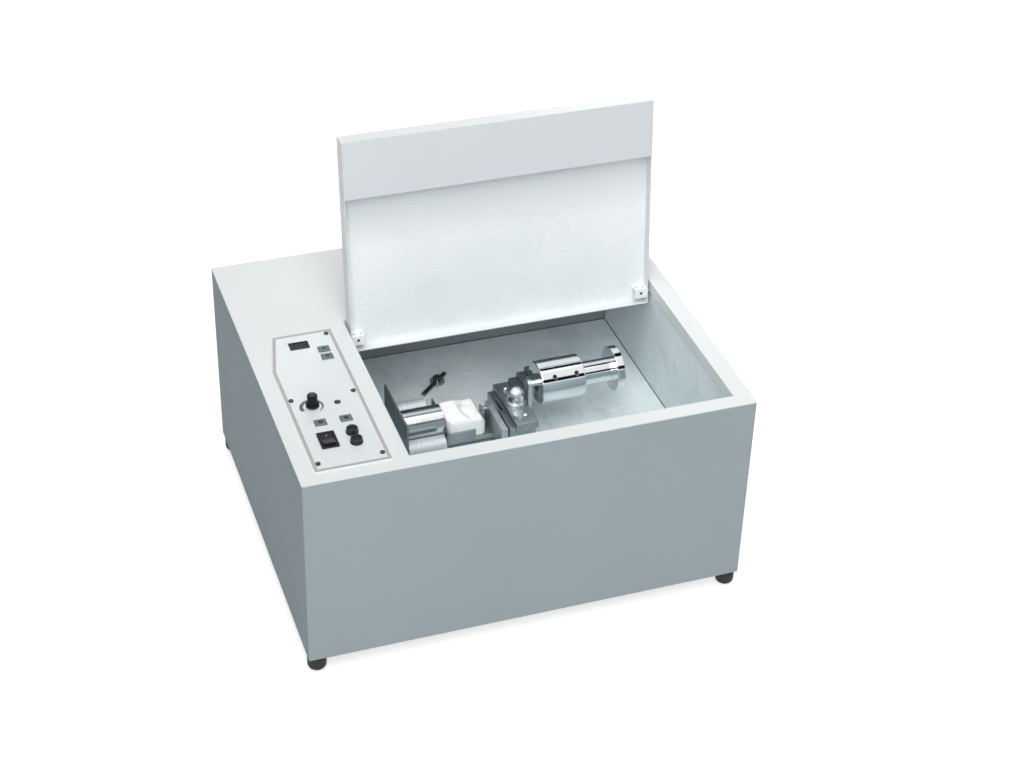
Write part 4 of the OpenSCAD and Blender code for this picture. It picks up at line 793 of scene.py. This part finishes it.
class SpeedDial(bpy.types.Operator):
    """Print the scale round the knob, wide at its start and narrow at its end"""

    bl_idname = "casting.speed_dial"
    bl_label = "Speed dial"

    def execute(self, context):
        sizes = context.scene.machine_sizes
        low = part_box("control_panel")[1].z
        run = np.linspace(0.0, 1.0, 72)
        turn = sizes.dial_from + (sizes.dial_to - sizes.dial_from) * run
        width = sizes.dial_thin + (sizes.dial_thick - sizes.dial_thin) * (1.0 - run) ** 0.8
        near = middle("knob") + around(turn) * sizes.dial_radius
        far = middle("knob") + around(turn) * (sizes.dial_radius + width)[:, None]
        top = low + sizes.print_height
        grid = stacked(((near, low), (far, low), (far, top), (near, top)), 1)
        ink = coat("dial_print")
        add_piece("speed_dial", [grid], ink, "cabinet")
        return {"FINISHED"}


class KeyMarks(bpy.types.Operator):
    """Mark the keys: printed triangles on the arrow keys, sunken discs on start and stop"""

    bl_idname = "casting.key_marks"
    bl_label = "Key marks"

    def execute(self, context):
        sizes = context.scene.machine_sizes
        ink = coat("key_print")
        turn = radians(90) + np.arange(3) * radians(120)
        arrow = sizes.arrow_mark * around(turn)
        disc = circle(sizes.key_mark)
        raised, sunken = 0.1 * MM, -0.05 * MM
        marks = {"up": (arrow, raised), "down": (-arrow, raised),
                 "start": (disc, sunken), "stop": (disc, sunken)}
        for key, (outline, proud) in marks.items():
            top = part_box("key_" + key)[1].z
            grid = slab(outline, top - sizes.key_mark_depth, top + proud, middle("key_" + key))
            add_piece(key + "_mark", [grid], ink, key + "_key")
        return {"FINISHED"}


class KnobTrim(bpy.types.Operator):
    """Put the plain cap and the pointer line on the knob"""

    bl_idname = "casting.knob_trim"
    bl_label = "Knob trim"

    def execute(self, context):
        sizes = context.scene.machine_sizes
        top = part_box("knob")[1].z
        centre = middle("knob")
        cap_height, line_low, line_high = 0.35 * MM, 0.3 * MM, 0.5 * MM
        cap = slab(circle(sizes.knob_cap), top, top + cap_height, centre, edge=0.94)
        plain = moulded("cap_grey", shade(tone("lamp_dark"), 0.6), roughness=0.5)
        add_piece("knob_cap", [cap], plain, "speed_knob")
        outline = bar(sizes.pointer_width / 2, sizes.knob_cap)
        line = slab(outline, top + line_low, top + line_high, centre, edge=0.97)
        ink = coat("pointer_print")
        add_piece("knob_pointer", [line], ink, "speed_knob")
        return {"FINISHED"}


class RockerMark(bpy.types.Operator):
    """Print the short bar on the rocker's rear half"""

    bl_idname = "casting.rocker_mark"
    bl_label = "Rocker mark"

    def execute(self, context):
        sizes = context.scene.machine_sizes
        rear_strip, middle_strip = 4.0 * MM, 1.5 * MM
        bar_from, bar_half, bar_height = 6.0 * MM, 0.5 * MM, 0.12 * MM
        mesh = NODES["rocker"].data
        points = np.empty(len(mesh.vertices) * 3)
        mesh.vertices.foreach_get("co", points)
        points = points.reshape(-1, 3)
        centre = middle("rocker")
        rear = points[points[:, 1] > points[:, 1].max() - rear_strip]
        crest = rear[rear[:, 2].argmax()]
        between = points[np.abs(points[:, 1] - centre[1]) < middle_strip]
        valley = between[between[:, 2].argmax()]
        ahead = (crest - valley) * np.array((0.0, 1.0, 1.0))
        ahead /= np.linalg.norm(ahead)
        up = np.array((0.0, -ahead[2], ahead[1]))
        base = np.array((centre[0], valley[1], valley[2])) + ahead * bar_from
        flat = slab(bar(bar_half, sizes.rocker_mark), 0.0, bar_height)
        grid = turned(flat, base, SIDE, ahead, up)
        ink = coat("rocker_print")
        add_piece("rocker_mark", [grid], ink, "mains_rocker")
        return {"FINISHED"}


class ScrewSockets(bpy.types.Operator):
    """Brighten the bottoms of the panel screws' sockets"""

    bl_idname = "casting.screw_sockets"
    bl_label = "Screw sockets"

    def execute(self, context):
        sizes = context.scene.machine_sizes
        low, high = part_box("panel_screws")
        left, right = low.x + sizes.screw_radius, high.x - sizes.screw_radius
        front, rear = low.y + sizes.screw_radius, high.y - sizes.screw_radius
        centre = (front + rear) / 2
        places = ((right, front), (right, centre), (right, rear), (left, front), (left, centre))
        depth, thick = 0.8 * MM, 0.5 * MM
        floor = high.z - depth
        outline = circle(sizes.screw_socket, 6)
        grids = [slab(outline, floor, floor + thick, spot) for spot in places]
        add_piece("screw_sockets", grids, coat("ground_steel"), "cabinet")
        return {"FINISHED"}


class FootRings(bpy.types.Operator):
    """Lay a steel washer on the shoulder of each foot"""

    bl_idname = "casting.foot_rings"
    bl_label = "Foot rings"

    def execute(self, context):
        sizes = context.scene.machine_sizes
        low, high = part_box("rubber_feet")
        lift, thick = 0.9 * MM, 1.0 * MM
        height = high.z - sizes.foot_neck + lift
        along = (low.x + sizes.foot_radius, high.x - sizes.foot_radius)
        across = (low.y + sizes.foot_radius, high.y - sizes.foot_radius)
        grids = [ring(sizes.foot_ring, thick, (x, y, height)) for x in along for y in across]
        add_piece("foot_rings", grids, coat("ground_steel"), "cabinet",
                  loop=True, smooth=60.0)
        return {"FINISHED"}


def ring(radius, thick, centre):
    """A round ring: a small circle carried round a large one."""
    path = circle(1.0, 64)
    section = circle(thick, 16)
    reach = radius + section[None, :, :1]
    flat = path[:, None] * reach
    lift = np.broadcast_to(section[None, :, 1:], (*flat.shape[:2], 1))
    return np.concatenate((flat, lift), axis=2) + np.array(centre)


class FloorBead(bpy.types.Operator):
    """Run the dark sealing bead round the chamber's floor"""

    bl_idname = "casting.floor_bead"
    bl_label = "Floor bead"

    def execute(self, context):
        sizes = context.scene.machine_sizes
        low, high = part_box("chamber_liner")
        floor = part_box("chamber_floor")[1].z
        liner = corners((low.x, low.y), (high.x, low.y), (high.x, high.y), (low.x, high.y))
        outer = inset(liner, sizes.liner_wall)
        bend, thin = np.linspace(0.0, pi / 2, 7), 0.02 * MM
        curve = sizes.bead_radius * np.stack((1.0 - np.sin(bend), 1.0 - np.cos(bend)), axis=1)
        profile = np.maximum(np.concatenate((np.zeros((1, 2)), curve)), thin)
        grid = stacked([(inset(outer, reach), floor + rise) for reach, rise in profile], 1)
        add_piece("floor_bead", [grid], coat("sealant_dark"), "cabinet",
                  loop=True, smooth=50.0)
        return {"FINISHED"}


class LatchRod(bpy.types.Operator):
    """Lean the latch's bright rod from its boss down to the floor"""

    bl_idname = "casting.latch_rod"
    bl_label = "Latch rod"

    def execute(self, context):
        sizes = context.scene.machine_sizes
        sunk, lean = 1.0 * MM, np.array((-0.3, -0.954, 0.0))
        pivot = JOINTS["latch_turn"]["pos_m"]
        start = np.array((pivot[0], pivot[1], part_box("arm_latch")[1].z - sunk))
        end = start + lean * sizes.latch_reach
        end[2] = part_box("chamber_floor")[1].z + 1.5 * sizes.latch_rod
        grid = rod(start, end, sizes.latch_rod)
        add_piece("latch_rod", [grid], coat("tube_grey"), "floor_latch", smooth=50.0)
        return {"FINISHED"}


def rod(start, end, radius):
    """A straight rod with rounded-off ends: circles carried along the line from start to end, the
    first and the last one drawn in."""
    ahead = end - start
    far = np.linalg.norm(ahead)
    ahead = ahead / far
    side = np.cross(ahead, np.array((0.0, 0.0, 1.0)))
    side /= np.linalg.norm(side)
    rise = np.cross(side, ahead)
    round_about = circle(1.0, 20)
    across = round_about[:, :1] * side + round_about[:, 1:] * rise
    shares = np.array((0.55, 0.9, 1.0, 1.0, 0.9, 0.55)) * radius
    near = np.array((0.0, 0.25, 0.7)) * radius
    steps = np.concatenate((near, far - near[::-1]))
    return start + steps[:, None, None] * ahead + shares[:, None, None] * across


class HingeScrews(bpy.types.Operator):
    """Set a dark screw into the face of each hinge block, and two pins into its upper end"""

    bl_idname = "casting.hinge_screws"
    bl_label = "Hinge screws"

    def execute(self, context):
        sizes = context.scene.machine_sizes
        head_low, head_high, pin_height, pin_share = -1.8 * MM, -0.5 * MM, 0.25 * MM, 0.27
        pivot = JOINTS["lid_hinge"]["pos_m"]
        lean = radians(JOINTS["lid_hinge"]["range_deg"][1])
        low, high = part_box("hinge_blocks")
        face_out = np.array((0.0, -sin(lean), -cos(lean)))
        face_up = np.array((0.0, -cos(lean), sin(lean)))
        head = slab(circle(sizes.block_screw, 32), head_low, head_high)
        pin = slab(circle(sizes.block_pin, 24), 0.0, pin_height)
        grids = []
        for x in (low.x + sizes.block_width / 2, high.x - sizes.block_width / 2):
            centre = np.array((x, pivot[1], pivot[2]))
            face = centre + face_out * sizes.block_half_depth
            grids.append(turned(head, face, SIDE, face_up, face_out))
            end = centre + face_up * sizes.block_length / 2
            for shift in (-pin_share, pin_share):
                spot = end + SIDE * shift * sizes.block_width
                grids.append(turned(pin, spot, SIDE, -face_out, face_up))
        add_piece("hinge_screws", grids, coat("screw_dark"), "lid")
        return {"FINISHED"}


class Studio(bpy.types.Operator):
    """Set up the pale floor, the soft light and the camera"""

    bl_idname = "casting.studio"
    bl_label = "Studio"

    def execute(self, context):
        setup = context.scene.machine_studio
        context.scene.view_settings.view_transform = "Standard"
        add_floor(setup)
        add_room(setup)
        add_area("key_light", setup.key_place, setup.aim, setup.large_size, setup.key_power)
        add_area("top_light", setup.top_place, setup.aim, setup.large_size, setup.top_power)
        add_area("rear_light", setup.rear_place, setup.aim, setup.rear_size, setup.rear_power)
        add_flag("rear_flag", corner=(-1.2, 0.05, 1.6), along=(2.4, 0.0, 0.0),
                 across=(0.0, 1.45, 0.0))
        add_flag("front_flag", corner=(-1.5, -1.8, 1.08), along=(3.0, 0.0, 0.0),
                 across=(0.0, 0.0, 0.77))
        lens = bpy.data.cameras.new("studio_camera")
        lens.lens = setup.lens
        camera = bpy.data.objects.new("studio_camera", lens)
        camera.location = setup.camera_place
        camera.rotation_euler = setup.camera_turn
        context.scene.collection.objects.link(camera)
        context.scene.camera = camera
        return {"FINISHED"}


def seen_directly(tree):
    """A factor that is one for rays from the camera, from gloss and through glass."""
    path = tree.nodes.new("ShaderNodeLightPath")
    total = path.outputs["Is Camera Ray"]
    for name in ("Is Glossy Ray", "Is Transmission Ray"):
        either = tree.nodes.new("ShaderNodeMath")
        either.operation = "MAXIMUM"
        tree.links.new(total, either.inputs[0])
        tree.links.new(path.outputs[name], either.inputs[1])
        total = either.outputs[0]
    return total


def stage_sheet(name, corner, along, across, material):
    """A flat sheet of the stage: a corner and the two edges that leave it."""
    corner, along, across = (np.array(edge) for edge in (corner, along, across))
    points = np.stack((corner, corner + along, corner + along + across, corner + across))
    mesh = bpy.data.meshes.new(name)
    mesh.from_pydata(points.tolist(), [], [(0, 1, 2, 3)])
    mesh.materials.append(material)
    sheet = bpy.data.objects.new(name, mesh)
    bpy.context.scene.collection.objects.link(sheet)
    return sheet


def add_floor(setup):
    """A wide pale sheet under the feet. Its look is lifted towards white, more so further out and
    not at all under the machine, and it keeps the machine's shadow."""
    half, height = 25.0, -0.2 * MM
    lift_from, lift_to, shade_in, shade_out = 0.5, 2.5, 0.6, 0.8
    paper = Finish("studio_floor", (setup.floor_tone,) * 3, roughness=1.0)
    away = paper.node("ShaderNodeVectorMath", {0: paper.coords}, operation="LENGTH")
    lift = paper.spread(away.outputs["Value"], setup.floor_lift, 1.0, lift_from, lift_to)
    reach = [paper.node("ShaderNodeMath", {0: paper.along(axis)}, operation="ABSOLUTE").outputs[0]
             for axis in "XY"]
    shares = [paper.times(part, 1.0 / edge) for part, edge in zip(reach, CAD_BOX[1])]
    edge = paper.node("ShaderNodeMath", dict(enumerate(shares)), operation="MAXIMUM").outputs[0]
    clear = paper.spread(edge, 0.0, 1.0, shade_in, shade_out)
    shown = paper.times(paper.times(lift, clear), seen_directly(paper.tree))
    paper.set(**{"Emission Color": WHITE, "Emission Strength": shown})
    stage_sheet("studio_floor", (-half, -half, height), (2 * half, 0.0, 0.0), (0.0, 2 * half, 0.0),
                paper.material)


def add_room(setup):
    """Even light from all around, which looks white where it is seen."""
    world = bpy.data.worlds.new("studio_room")
    world.use_nodes = True
    tree = world.node_tree
    around = tree.nodes["Background"]
    around.inputs["Strength"].default_value = setup.room_light
    around.inputs["Color"].default_value = WHITE
    white = tree.nodes.new("ShaderNodeBackground")
    white.inputs["Color"].default_value = WHITE
    choice = tree.nodes.new("ShaderNodeMixShader")
    tree.links.new(seen_directly(tree), choice.inputs[0])
    tree.links.new(around.outputs[0], choice.inputs[1])
    tree.links.new(white.outputs[0], choice.inputs[2])
    tree.links.new(choice.outputs[0], tree.nodes["World Output"].inputs["Surface"])
    bpy.context.scene.world = world


def add_flag(name, corner, along, across):
    """A dark sheet, which only shows as a reflection in polished metal."""
    cloth = Finish(name, (0.01, 0.01, 0.01))
    cloth.set(**{"Specular IOR Level": 0.0})
    flag = stage_sheet(name, corner, along, across, cloth.material)
    for kind in ("camera", "diffuse", "transmission", "volume_scatter", "shadow"):
        setattr(flag, "visible_" + kind, False)


def add_area(name, spot, aim, size, watts):
    """A square soft light at a spot, turned towards an aim."""
    light = bpy.data.lights.new(name, "AREA")
    light.size = size
    light.energy = watts
    lamp = bpy.data.objects.new(name, light)
    lamp.location = spot
    lamp.rotation_euler = (Vector(aim) - Vector(spot)).to_track_quat("-Z", "Y").to_euler()
    bpy.context.scene.collection.objects.link(lamp)


class CastingPanel(bpy.types.Panel):
    """Lists the machine's finishes and pieces in the sidebar"""

    bl_idname = "VIEW3D_PT_casting_machine"
    bl_label = "Casting machine"
    bl_space_type = "VIEW_3D"
    bl_region_type = "UI"
    bl_category = "Casting machine"

    def draw(self, context):
        for operator in OPERATORS:
            self.layout.operator(operator.bl_idname)


GROUPS = {"machine_colours": FinishColours, "machine_sizes": TrimSizes,
          "machine_studio": StudioSetup}
OPERATORS = (FinishCabinet, FinishLid, FinishControls, FinishArm, FinishDrive, PanelBorder,
             SpeedDial, KeyMarks, KnobTrim, RockerMark, ScrewSockets, FootRings, FloorBead,
             LatchRod, HingeScrews, Studio)


def register():
    """Register the classes and hang the property groups on the scene."""
    for kind in (*GROUPS.values(), *OPERATORS, CastingPanel):
        bpy.utils.register_class(kind)
    for name, kind in GROUPS.items():
        setattr(bpy.types.Scene, name, PointerProperty(type=kind))


def unregister():
    """Take the property groups and the classes away again."""
    for name in GROUPS:
        delattr(bpy.types.Scene, name)
    for kind in reversed((*GROUPS.values(), *OPERATORS, CastingPanel)):
        bpy.utils.unregister_class(kind)


def main():
    """Register the add-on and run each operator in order."""
    register()
    for operator in OPERATORS:
        group, action = operator.bl_idname.split(".")
        getattr(getattr(bpy.ops, group), action)()


if __name__ == "__main__":
    main()
